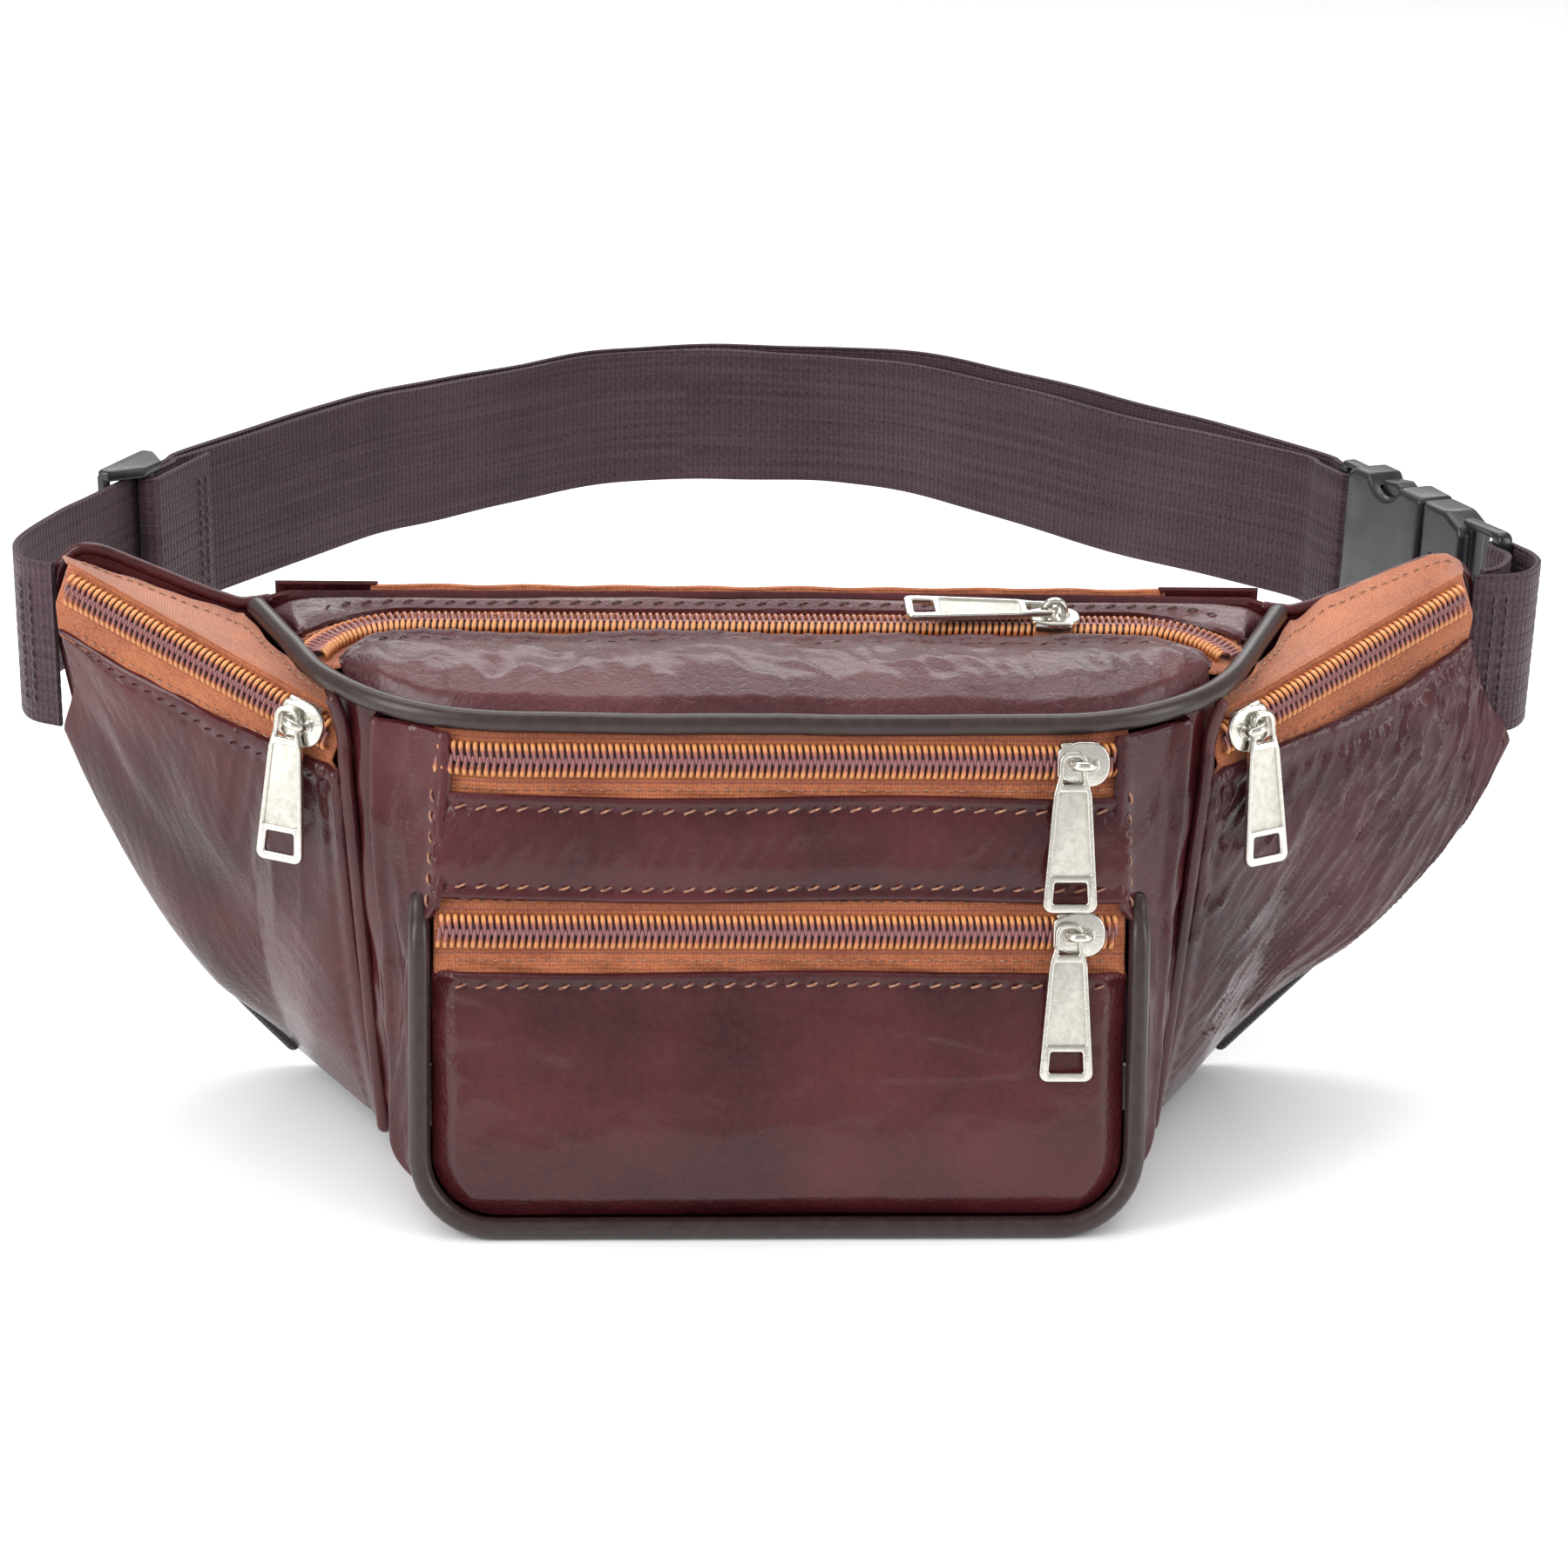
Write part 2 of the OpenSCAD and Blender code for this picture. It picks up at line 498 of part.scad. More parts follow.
front_zip_frame(lower_zip_v, slider_x) pull(90);  // front_lower_pull
top_zip_frame(slider_x) pull(0);  // top_pull
back_zip_frame(back_slider_x) pull(90);  // back_pull
mirrored() wing_zip_frame(wing_slider_s) pull(wing_hang_a);  // wing_left_pull
wing_zip_frame(wing_slider_s) pull(wing_hang_a);  // wing_right_pull
belt_outer();
belt_inner();
belt_give();
belt_fold();
belt_loop();
belt_short();
triglide();
buckle_female();
buckle_male();
prong();  // prong_upper
prong_lower_half() prong();  // prong_lower
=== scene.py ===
"""Waist pack: the looks of the leather bag, its six zips, its webbing belt and its buckle.

Lengths here are millimetres and become metres when a mesh is made. X runs to the right as seen
from the front, Y from the front towards the wearer, Z up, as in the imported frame.
"""
import json
from math import acos, asin, atan2, copysign, cos, exp, pi, radians, sin, sqrt, tan

import bmesh
import bpy
import numpy as np
from mathutils import Matrix, Vector, noise
from mathutils.geometry import tessellate_polygon


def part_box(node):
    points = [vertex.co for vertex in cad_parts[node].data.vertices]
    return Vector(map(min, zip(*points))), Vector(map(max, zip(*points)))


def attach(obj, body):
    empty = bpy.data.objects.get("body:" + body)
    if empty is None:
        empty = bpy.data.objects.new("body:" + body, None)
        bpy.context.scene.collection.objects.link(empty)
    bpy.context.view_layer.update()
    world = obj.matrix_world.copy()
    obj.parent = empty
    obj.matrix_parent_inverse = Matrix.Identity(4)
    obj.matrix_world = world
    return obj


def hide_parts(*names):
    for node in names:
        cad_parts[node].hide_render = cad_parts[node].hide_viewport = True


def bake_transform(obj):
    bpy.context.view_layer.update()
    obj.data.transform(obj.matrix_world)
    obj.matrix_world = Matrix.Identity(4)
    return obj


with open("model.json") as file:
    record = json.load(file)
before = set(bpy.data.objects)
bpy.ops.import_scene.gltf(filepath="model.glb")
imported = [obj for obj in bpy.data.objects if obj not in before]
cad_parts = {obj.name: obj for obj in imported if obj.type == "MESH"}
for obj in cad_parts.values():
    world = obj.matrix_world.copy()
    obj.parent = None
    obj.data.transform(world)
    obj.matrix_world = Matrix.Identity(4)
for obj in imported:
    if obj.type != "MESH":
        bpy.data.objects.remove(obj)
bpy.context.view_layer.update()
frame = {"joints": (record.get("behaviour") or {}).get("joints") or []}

MM = 0.001
JOINTS = {j["name"]: j for j in frame["joints"]}


def box(node):
    """Lowest and highest corner of a CAD node."""
    low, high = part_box(node)
    return np.array(low) / MM, np.array(high) / MM


def axis(joint):
    return np.array(JOINTS[joint]["axis"], float)


def place(joint):
    return np.array(JOINTS[joint]["pos_m"], float) / MM


# ---------------------------------------------------------------- sizes taken from the frame
CORD_R = 2.3                    # radius of both pipings
LEATHER_T, TAPE_T = 1.6, 0.8
STITCH_PITCH, TOOTH_PITCH = 4.4, 1.45
TOP_Y = box("top_piping")[0][1] + CORD_R
FRONT_H = box("top_piping")[0][2] + CORD_R
LEAN = asin(-axis("front_upper_pull_swing")[2])
SLOPE = asin(axis("top_pull_flip")[2])
FOOT_Y = TOP_Y - FRONT_H * tan(LEAN)
BACK_Y = box("back_panel")[0][1]
FRONT_HALF = box("front_piping")[1][0] - CORD_R
TIP_X = box("wing_panel_right")[1][0]
TOP_Z = FRONT_H + (BACK_Y - TOP_Y) * tan(SLOPE)

# Front face: heights up its slope
UPPER_ZIP, LOWER_ZIP = 102, 66
STRIP = (72.5, 94.5)
POCKET_TOP = 57.5
BAND_HALF = 72.5                # half the width between the gussets
BEND_FROM, BEND_OVER = 55, 52   # where the face's ends start to bend back, and over what height
CORNER_R = 16
TAPE_OUT = -0.6                 # outer side of the tapes, under the leather's outer side
LINING_OUT = -9.2
PIPING_END = 71.5
PIPING_INSET = 2.6              # the top's leather ends this far inside its outline

# Top: x and depth y behind the front edge
ARC_X, ARC_R, ARC_A = 55, 50, radians(65)
OUTLINE_LEN = 91.5
TOP_ZIP_Y, TOP_ZIP_X, TOP_ZIP_R = 49, 78, 22
ZIP_EDGE = 7.5
TOP_ZIP_LEN = 2 * (TOP_ZIP_X + TOP_ZIP_R * radians(78))

BACK_ZIP_Z = place("back_pull_swing")[2]
BACK_TAPE_Y = box("back_tape")[1][1]


# ---------------------------------------------------------------- small maths
def unit(v):
    v = np.asarray(v, float)
    return v / np.linalg.norm(v)


def lerp(a, b, t):
    return a + (b - a) * t


def smooth(t):
    t = min(max(t, 0.0), 1.0)
    return t * t * (3 - 2 * t)


def hump(d, width):
    """1 on a line, falling to 0 beside it."""
    return exp(-(d / width) ** 2)


def rough(x, y, z=0.0, octaves=2):
    """Smooth random number around 0, the same on each run."""
    return noise.fractal(Vector((x, y, z)), 0.9, 2.1, octaves)


def ridge(x, y, z):
    """Folds: narrow crests of about 1 on a ground of about 0."""
    return (1 - min(1.0, abs(2.4 * noise.noise(Vector((x, y, z)))))) ** 2


def spline(points, n):
    """Catmull-Rom curve through points, n steps between neighbours."""
    p = np.asarray(points, float)
    out = []
    for i in range(len(p) - 1):
        a, b, c, d = p[max(i - 1, 0)], p[i], p[i + 1], p[min(i + 2, len(p) - 1)]
        for k in range(n):
            t = k / n
            out.append(0.5 * (2 * b + (c - a) * t + (2 * a - 5 * b + 4 * c - d) * t * t
                              + (3 * b - a - 3 * c + d) * t ** 3))
    out.append(p[-1])
    return np.array(out)


def lengths(path):
    """Distance along a path to each of its points."""
    return np.concatenate([[0], np.cumsum(np.linalg.norm(np.diff(path, axis=0), axis=1))])


def resampled(path, step):
    """The path again, in equal steps."""
    at = lengths(path)
    n = max(2, round(at[-1] / step) + 1)
    want = np.linspace(0, at[-1], n)
    return np.stack([np.interp(want, at, path[:, k]) for k in range(path.shape[1])], axis=1)


def rounded(corners, radius, steps):
    """Closed outline through corners, each turned with a radius."""
    out = []
    for i, corner in enumerate(corners):
        c = np.array(corner, float)
        a, b = unit(np.array(corners[i - 1]) - c), unit(np.array(corners[(i + 1) % len(corners)]) - c)
        r = radius[i] if hasattr(radius, "__len__") else radius
        half = acos(np.clip(a @ b, -1, 1)) / 2
        if r <= 0 or half > 1.55:
            out.append(c)
            continue
        centre = c + unit(a + b) * r / sin(half)
        p, q = c + a * r / tan(half) - centre, c + b * r / tan(half) - centre
        start = atan2(p[1], p[0])
        turn = (atan2(q[1], q[0]) - start + pi) % (2 * pi) - pi
        for k in range(steps + 1):
            angle = start + turn * k / steps
            out.append(centre + r * np.array([cos(angle), sin(angle)]))
    return np.array(out)


def circle(x, y, r, n, start=0.0, turn=2 * pi):
    return np.array([[x + r * cos(start + turn * k / n), y + r * sin(start + turn * k / n)]
                     for k in range(n)])


def wedge(x0, half0, x1, half1):
    """Corners of a shape as wide on both sides of the x axis: half0 at x0 and half1 at x1."""
    return [(x0, -half0), (x0, half0), (x1, half1), (x1, -half1)]


# ---------------------------------------------------------------- forms
def transformed(points, matrix):
    m = np.array(matrix, float)
    return points @ m[:3, :3].T + m[:3, 3]


def frame_matrix(origin, x, y, z):
    m = np.eye(4)
    m[:3, 0], m[:3, 1], m[:3, 2], m[:3, 3] = x, y, z, origin
    return m


def outward_mesh(name, points, faces):
    """A mesh with all its faces looking outwards."""
    mesh = bpy.data.meshes.new(name)
    mesh.from_pydata(points.tolist(), [], faces)
    work = bmesh.new()
    work.from_mesh(mesh)
    bmesh.ops.recalc_face_normals(work, faces=work.faces)
    work.to_mesh(mesh)
    work.free()
    return mesh


def new_object(name, data):
    obj = bpy.data.objects.new(name, data)
    bpy.context.scene.collection.objects.link(obj)
    return obj


class Shape:
    """Points and faces gathered from several forms into one mesh."""

    def __init__(self):
        self.points, self.faces, self.uvs, self.looks, self.count = [], [], [], [], 0

    def add(self, points, faces, uv=None, look=0):
        points = np.asarray(points, float)
        self.points.append(points)
        self.uvs.append(np.zeros((len(points), 2)) if uv is None else np.asarray(uv, float))
        for f in faces:
            self.faces.append([i + self.count for i in f])
            self.looks.append(look)
        self.count += len(points)
        return self

    def moved(self, matrix):
        """The same shape, moved by a 4x4 matrix."""
        self.points = [transformed(p, matrix) for p in self.points]
        return self


def piece(name, shape, looks, body, nodes=(), blend=None):
    """Makes a shape a piece of the object, on its body; given a blend, it is left in place on no body."""
    mesh = outward_mesh(name, np.concatenate(shape.points) * MM, shape.faces)
    uv = np.concatenate(shape.uvs) * MM
    layer = mesh.uv_layers.new(name="cloth")
    corners = np.zeros(len(mesh.loops), np.int32)
    mesh.loops.foreach_get("vertex_index", corners)
    layer.data.foreach_set("uv", uv[corners].astype(np.float32).ravel())
    for m in looks if isinstance(looks, (list, tuple)) else [looks]:
        mesh.materials.append(m)
    mesh.polygons.foreach_set("material_index", shape.looks)
    mesh.shade_smooth()
    mesh.set_sharp_from_angle(angle=radians(50))
    obj = new_object(name, mesh)
    if blend:
        [c * MM for c in blend[1]]
        [c * MM for c in blend[2]]
        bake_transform(obj)
    else:
        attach(obj, body)
    if nodes:
        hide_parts(*nodes)
    return obj


def grid_faces(n, m, wrap=False, base=0):
    """Quads over n rows of m points; wrap joins each row's last point to its first."""
    cols = m if wrap else m - 1
    return [[base + i * m + j, base + i * m + (j + 1) % m, base + (i + 1) * m + (j + 1) % m,
             base + (i + 1) * m + j] for i in range(n - 1) for j in range(cols)]


def capped_tube(n, m):
    """Faces of a closed tube: n rings of m points and a cap at each end."""
    return grid_faces(n, m, wrap=True) + [list(range(m))[::-1], [(n - 1) * m + k for k in range(m)]]


class Sheet:
    """A surface with a thickness: leather, tape or lining. out is a direction it faces."""

    def __init__(self, surface, nu, nv, thick, out):
        u, v = np.linspace(0, 1, nu), np.linspace(0, 1, nv)
        self.grid = np.array([[surface(a, b) for b in v] for a in u], float)
        du, dv = np.gradient(self.grid, axis=0), np.gradient(self.grid, axis=1)
        n = np.cross(du, dv)
        n /= np.maximum(np.linalg.norm(n, axis=2, keepdims=True), 1e-9)
        self.normal = n * (1 if (n.mean((0, 1)) @ np.asarray(out, float)) > 0 else -1)
        self.thick = thick

    def along(self, v, start, end):
        """Points and normals of a line along the sheet, at share v across it."""
        return self._line(self.grid, self.normal, v, start, end)

    def across(self, u, start, end):
        return self._line(self.grid.swapaxes(0, 1), self.normal.swapaxes(0, 1), u, start, end)

    @staticmethod
    def _line(grid, normal, v, start, end):
        j = v * (grid.shape[1] - 1)
        k = min(int(j), grid.shape[1] - 2)
        a, b = round(start * (grid.shape[0] - 1)), round(end * (grid.shape[0] - 1)) + 1
        return tuple(lerp(g[:, k], g[:, k + 1], j - k)[a:b] for g in (grid, normal))

    def into(self, shape, middle=0.0):
        """Adds the sheet to a shape, its rim rolled round; middle is the share across where v is 0."""
        n, m = self.grid.shape[:2]
        u = lengths(self.grid[:, m // 2])[:, None] * np.ones((1, m))
        v = lengths(self.grid[n // 2])[None, :] * np.ones((n, 1))
        uv = np.stack([u, v - middle * v[0, -1]], axis=2).reshape(-1, 2)
        inner = self.grid - self.thick * self.normal
        rim = ([(i, 0) for i in range(n)] + [(n - 1, j) for j in range(1, m)]
               + [(i, m - 1) for i in range(n - 2, -1, -1)] + [(0, j) for j in range(m - 2, 0, -1)])
        middles, k = [], n * m
        for i, j in rim:
            ni, nj = min(max(i, 1), n - 2), min(max(j, 1), m - 2)
            off = self.grid[i, j] - self.grid[ni, nj]
            off = off - (off @ self.normal[i, j]) * self.normal[i, j]
            size = np.linalg.norm(off)
            off = off / size if size > 1e-6 else off
            middles.append(self.grid[i, j] - self.thick * (0.5 * self.normal[i, j] - 0.42 * off))
        points = np.concatenate([self.grid.reshape(-1, 3), inner.reshape(-1, 3), np.array(middles)])
        faces = grid_faces(n, m) + [f[::-1] for f in grid_faces(n, m, base=k)]
        for a in range(len(rim)):
            b = (a + 1) % len(rim)
            p, q = rim[a][0] * m + rim[a][1], rim[b][0] * m + rim[b][1]
            faces += [[q, p, 2 * k + a, 2 * k + b], [2 * k + b, 2 * k + a, p + k, q + k]]
        uvs = np.concatenate([uv, uv, np.array([uv[i * m + j] for i, j in rim])])
        return shape.add(points, faces, uvs)


def tube(shape, path, radius, sides, up=(0, 0, 1), flat=1.0, look=0, round_ends=True):
    """A round cord along a path; flat squeezes it along up, and its ends are domed."""
    path = np.asarray(path, float)
    t = np.gradient(path, axis=0)
    t /= np.linalg.norm(t, axis=1, keepdims=True)
    w = np.cross(np.asarray(up, float), t)
    w /= np.maximum(np.linalg.norm(w, axis=1, keepdims=True), 1e-9)
    n = np.cross(t, w)
    r = np.full(len(path), float(radius)) if np.isscalar(radius) else np.asarray(radius, float)
    rows = list(zip(path, w, n, r, t))

    def domed(row, way, angle):
        p, w, n, r, t = row
        return p + way * t * r * sin(angle), w, n, r * cos(angle), 0
    if round_ends:
        dome = [radians(a) for a in (80, 55, 28)]
        rows = ([domed(rows[0], -1, a) for a in dome] + rows
                + [domed(rows[-1], 1, a) for a in dome[::-1]])
    ring = [(cos(2 * pi * k / sides), sin(2 * pi * k / sides) * flat)
            for k in range(sides)]
    points = [p + rr * (c * ww + s * nn) for p, ww, nn, rr, _ in rows for c, s in ring]
    along = lengths(np.array([row[0] for row in rows]))
    uv = [(a, 2 * pi * k / sides * rr) for a, (_, _, _, rr, _) in zip(along, rows) for k in range(sides)]
    return shape.add(points, capped_tube(len(rows), sides), uv, look)


def plate(shape, outlines, thick, bevel, look=0, matrix=None, steps=4):
    """A flat plate in the xy plane, centred on z = 0, with rounded edges. The first outline is the
    outer one and the others are holes."""
    loops, rings, faces, points, k = [], [], [], [], 0
    for i, line in enumerate(outlines):
        line = np.asarray(line, float)
        area = np.sum(line[:, 0] * np.roll(line[:, 1], -1) - np.roll(line[:, 0], -1) * line[:, 1])
        loops.append(line if (area > 0) == (i == 0) else line[::-1])
    turns = [pi / 2 * s / steps for s in range(steps + 1)]
    profile = [(bevel * (1 - sin(t)), thick / 2 - bevel * (1 - cos(t))) for t in turns]
    profile = profile + [(a, -z) for a, z in profile[::-1]]
    profile[0], profile[-1] = (bevel, thick / 2), (bevel, -thick / 2)
    for line in loops:
        e = np.roll(line, -1, axis=0) - line
        e /= np.maximum(np.linalg.norm(e, axis=1, keepdims=True), 1e-9)
        normal = np.stack([-e[:, 1], e[:, 0]], axis=1)
        inward = normal + np.roll(normal, 1, axis=0)
        inward /= np.maximum(np.linalg.norm(inward, axis=1, keepdims=True), 1e-9)
        stretch = 1 / np.maximum(np.abs(np.sum(inward * normal, axis=1, keepdims=True)), 0.5)
        rows = [np.column_stack([line + inward * stretch * a, np.full(len(line), z)]) for a, z in profile]
        n = len(line)
        points.append(np.concatenate(rows))
        faces += grid_faces(len(rows), n, wrap=True, base=k)
        rings.append((k, n, rows))
        k += n * len(rows)
    for row in (0, -1):
        cap = [[Vector(p) for p in rows[row]] for _, _, rows in rings]
        ids = [base + (0 if row == 0 else (len(rows) - 1) * n) + i
               for base, n, rows in rings for i in range(n)]
        faces += [[ids[i] for i in tri] for tri in tessellate_polygon(cap)]
    points = np.concatenate(points)
    uv = points[:, :2].copy()
    if matrix is not None:
        points = transformed(points, matrix)
    return shape.add(points, faces, uv, look)


def stitches(shape, line, pitch=STITCH_PITCH, size=2.5, r=0.27, look=0, lift=0.1, slant=0.5):
    """Thread along a line of points and normals: a short bowed loop for each stitch."""
    points, normals = line
    at = lengths(points)
    count = max(1, int((at[-1] - size) / pitch))
    start = (at[-1] - (count - 1) * pitch) / 2
    for k in range(count):
        s = start + k * pitch + np.linspace(-size / 2, size / 2, 6)
        p = np.stack([np.interp(s, at, points[:, c]) for c in range(3)], axis=1)
        n = np.stack([np.interp(s, at, normals[:, c]) for c in range(3)], axis=1)
        side = np.cross(n, np.gradient(p, axis=0))
        side /= np.linalg.norm(side, axis=1, keepdims=True)
        bow = np.array([-0.35, 0.12, 0.3, 0.3, 0.12, -0.35])[:, None] + lift
        p = p + n * bow + side * slant * np.linspace(-1, 1, 6)[:, None]
        tube(shape, p, r, sides=6, up=n[2], round_ends=False, look=look)
    return shape


def tape_stitches(shape, line, r, lift):
    """The small straight stitches that hold a zip tape."""
    stitches(shape, line, look=1, pitch=2.6, size=1.7, r=r, lift=lift, slant=0.0)


def sweep(shape, path, ring):
    """A band of webbing along a path of x, y, height and lean; ring holds (height, offset) points."""
    t = np.gradient(path[:, :2], axis=0)
    t /= np.linalg.norm(t, axis=1, keepdims=True)
    side = np.column_stack([-t[:, 1], t[:, 0]])
    along = lengths(path[:, :2])
    points, uv, n = [], [], len(ring)
    for p, s, a in zip(path, side, along):
        lean = p[3] * unit(p[:2] - BELT_MIDDLE)
        for z, off in ring:
            x, y = p[:2] + s * off + lean * (z - WEB_W / 2)
            points.append((x, y, p[2] + z))
            uv.append((a + (5 if off < 0 else 0), z))
    return shape.add(points, capped_tube(len(path), n), uv)


# ---------------------------------------------------------------- materials
class Look:
    """A material whose nodes are added by short calls."""

    def __init__(self, name, colour, roughness, **sockets):
        self.mat = bpy.data.materials.new(name)
        self.mat.use_nodes = True
        self.nodes, self.links = self.mat.node_tree.nodes, self.mat.node_tree.links
        self.shader = self.nodes["Principled BSDF"]
        self.put(self.shader, {"Base Color": (*colour, 1), "Roughness": roughness, **sockets})

    def put(self, node, sockets):
        for key, value in sockets.items():
            if isinstance(value, bpy.types.NodeSocket):
                self.links.new(value, node.inputs[key])
            else:
                node.inputs[key].default_value = value

    def add(self, kind, sockets=None, out=0, **settings):
        node = self.nodes.new("ShaderNode" + kind)
        for key, value in settings.items():
            setattr(node, key, value)
        self.put(node, sockets or {})
        return node.outputs[out]

    def at(self, scale=(1, 1, 1), turn=(0, 0, 0)):
        """The object's own coordinates, turned and then stretched."""
        turned = self.add("Mapping", {"Vector": self.add("TexCoord", out=3), "Rotation": turn})
        return self.add("Mapping", {"Vector": turned, "Scale": scale})

    def cloth(self):
        """Along and across the cloth, in metres, as two numbers."""
        split = self.nodes.new("ShaderNodeSeparateXYZ")
        self.links.new(self.add("UVMap", uv_map="cloth"), split.inputs[0])
        return split.outputs[0], split.outputs[1]

    def noise(self, at, scale, detail=3.0, rough=0.55):
        return self.add("TexNoise", {"Vector": at, "Scale": scale, "Detail": detail, "Roughness": rough})

    def cells(self, at, scale, feature="F1"):
        return self.add("TexVoronoi", {"Vector": at, "Scale": scale}, feature=feature)

    def calc(self, op, a, b=0.0):
        return self.add("Math", {0: a, 1: b}, operation=op)

    def times(self, a, b):
        return self.calc("MULTIPLY", a, b)

    def plus(self, a, b):
        return self.calc("ADD", a, b)

    def inverse(self, a):
        return self.calc("SUBTRACT", 1.0, a)

    def span(self, value, low, high, to_low=0.0, to_high=1.0):
        return self.add("MapRange", {"Value": value, "From Min": low, "From Max": high, "To Min": to_low,
                                     "To Max": to_high})

    def mix(self, share, a, b):
        a, b = [c if isinstance(c, bpy.types.NodeSocket) else (*c, 1) for c in (a, b)]
        return self.add("Mix", {0: share, 6: a, 7: b}, out=2, data_type="RGBA")

    def tint(self, tone, mask, share, colour):
        """The tone, mixed with a colour by the given share where the mask is 1."""
        return self.mix(self.times(mask, share), tone, colour)

    def wave(self, value, period):
        """0 to 1 along value, once in each period."""
        turn = self.times(value, 2 * pi / period)
        return self.span(self.calc("SINE", turn), -1, 1)

    def colour(self, value):
        self.links.new(value, self.shader.inputs["Base Color"])

    def rough(self, value):
        self.links.new(value, self.shader.inputs["Roughness"])

    def drawn(self, along, across):
        """Streaks; along and across are the cloth's coordinates, times how often the streaks change."""
        return self.noise(self.add("CombineXYZ", {0: along, 1: across}), 1.0)

    def bump(self, *heights):
        """Stacks heights, each with its depth in metres."""
        normal = None
        for height, depth in heights:
            sockets = {"Height": height, "Distance": depth, "Strength": 1.0}
            if normal:
                sockets["Normal"] = normal
            normal = self.add("Bump", sockets)
        self.links.new(normal, self.shader.inputs["Normal"])


def leather_look(name, dark, light, grain, crease, roughness=0.27, lean=-0.7, coat=0.13):
    """Polished cowhide: mottled dye, small pebbled grain, fine creases and pores."""
    k = Look(name, dark, roughness,
             **{"Coat Weight": 0.38, "Coat Roughness": coat, "Specular IOR Level": 0.23})
    at = k.at()
    shift = k.add("TexNoise", {"Vector": at, "Scale": 260.0, "Detail": 2.0}, out=1)
    shift = k.add("VectorMath", {0: shift, "Scale": 0.0016}, operation="SCALE")
    bend = k.add("VectorMath", {0: at, 1: shift}, operation="ADD")
    blotch = k.span(k.noise(at, 26.0, 3.0), 0.35, 0.68)
    fleck = k.span(k.noise(at, 520.0, 3.0), 0.42, 0.66)
    pebble = k.cells(bend, 1250.0)
    lines = k.span(k.cells(bend, 420.0, "DISTANCE_TO_EDGE"), 0.0, 0.16)
    fold = k.span(k.noise(k.at((1.0, 1.0, 0.16), (0.0, lean, 0.0)), 380.0, 3.0, 0.5), 0.28, 0.72)
    patch = k.span(k.noise(at, 40.0, 2.0), 0.34, 0.7)
    tone = k.mix(blotch, dark, light)
    tone = k.tint(tone, fleck, 0.12, tuple(c * 1.7 for c in light))
    tone = k.tint(tone, k.inverse(lines), 0.14, tuple(c * 0.45 for c in dark))
    k.colour(tone)
    dull = k.span(blotch, 0, 1, roughness - 0.03, roughness + 0.07)
    k.rough(k.plus(k.times(fleck, 0.1), dull))
    k.bump((lines, grain), (pebble, grain), (k.times(fold, patch), crease))
    return k.mat


def tape_look():
    """Woven zip tape: fine ribs along it, a weft across it and two guide threads."""
    k = Look("zip tape", (0.5, 0.14, 0.04), 0.75, **{"Sheen Weight": 0.35, "Sheen Roughness": 0.4})
    along, across = k.cloth()
    at = k.at()
    warp, weft = k.wave(across, 0.0009), k.wave(along, 0.00075)
    weave = k.plus(k.times(warp, 0.6), k.times(weft, 0.5))
    patch = k.span(k.noise(at, 60.0, 4.0), 0.35, 0.7)
    fuzz = k.span(k.noise(at, 1600.0, 2.0), 0.35, 0.7)
    off_guide = k.calc("ABSOLUTE", k.calc("SUBTRACT", k.calc("ABSOLUTE", across), 0.0046))
    guide = k.calc("LESS_THAN", off_guide, 0.00022)
    tone = k.mix(patch, (0.28, 0.068, 0.024), (0.48, 0.145, 0.056))
    tone = k.tint(tone, k.inverse(weave), 0.55, (0.13, 0.03, 0.012))
    tone = k.tint(tone, fuzz, 0.25, (0.75, 0.30, 0.13))
    tone = k.tint(tone, guide, 0.5, (0.16, 0.04, 0.05))
    k.colour(tone)
    k.bump((weave, 0.00013), (fuzz, 0.00006))
    return k.mat


def coil_look():
    """Glossy orange nylon filament, browner in places, with a painted highlight: a lighter gold band on each
    tooth's crest.
    """
    k = Look("zip coil", (0.42, 0.14, 0.04), 0.28, **{"Coat Weight": 0.5, "Coat Roughness": 0.12})
    at = k.at()
    along = k.cloth()[0]
    tone = k.mix(k.span(k.noise(at, 900.0, 2.0), 0.3, 0.7), (0.26, 0.06, 0.02), (0.50, 0.15, 0.045))
    # crest: painted highlight, a lighter gold band where each tooth's bend catches the light
    crest = k.times(k.span(along, 0.0007, 0.0015), k.span(along, 0.0030, 0.0021))
    tone = k.tint(tone, crest, 0.75, (0.74, 0.35, 0.13))
    k.colour(k.mix(k.times(k.span(along, 0.0027, 0.0038), 0.8), tone, (0.16, 0.06, 0.075)))
    k.rough(k.span(k.noise(at, 300.0, 2.0), 0.3, 0.7, 0.2, 0.38))
    return k.mat


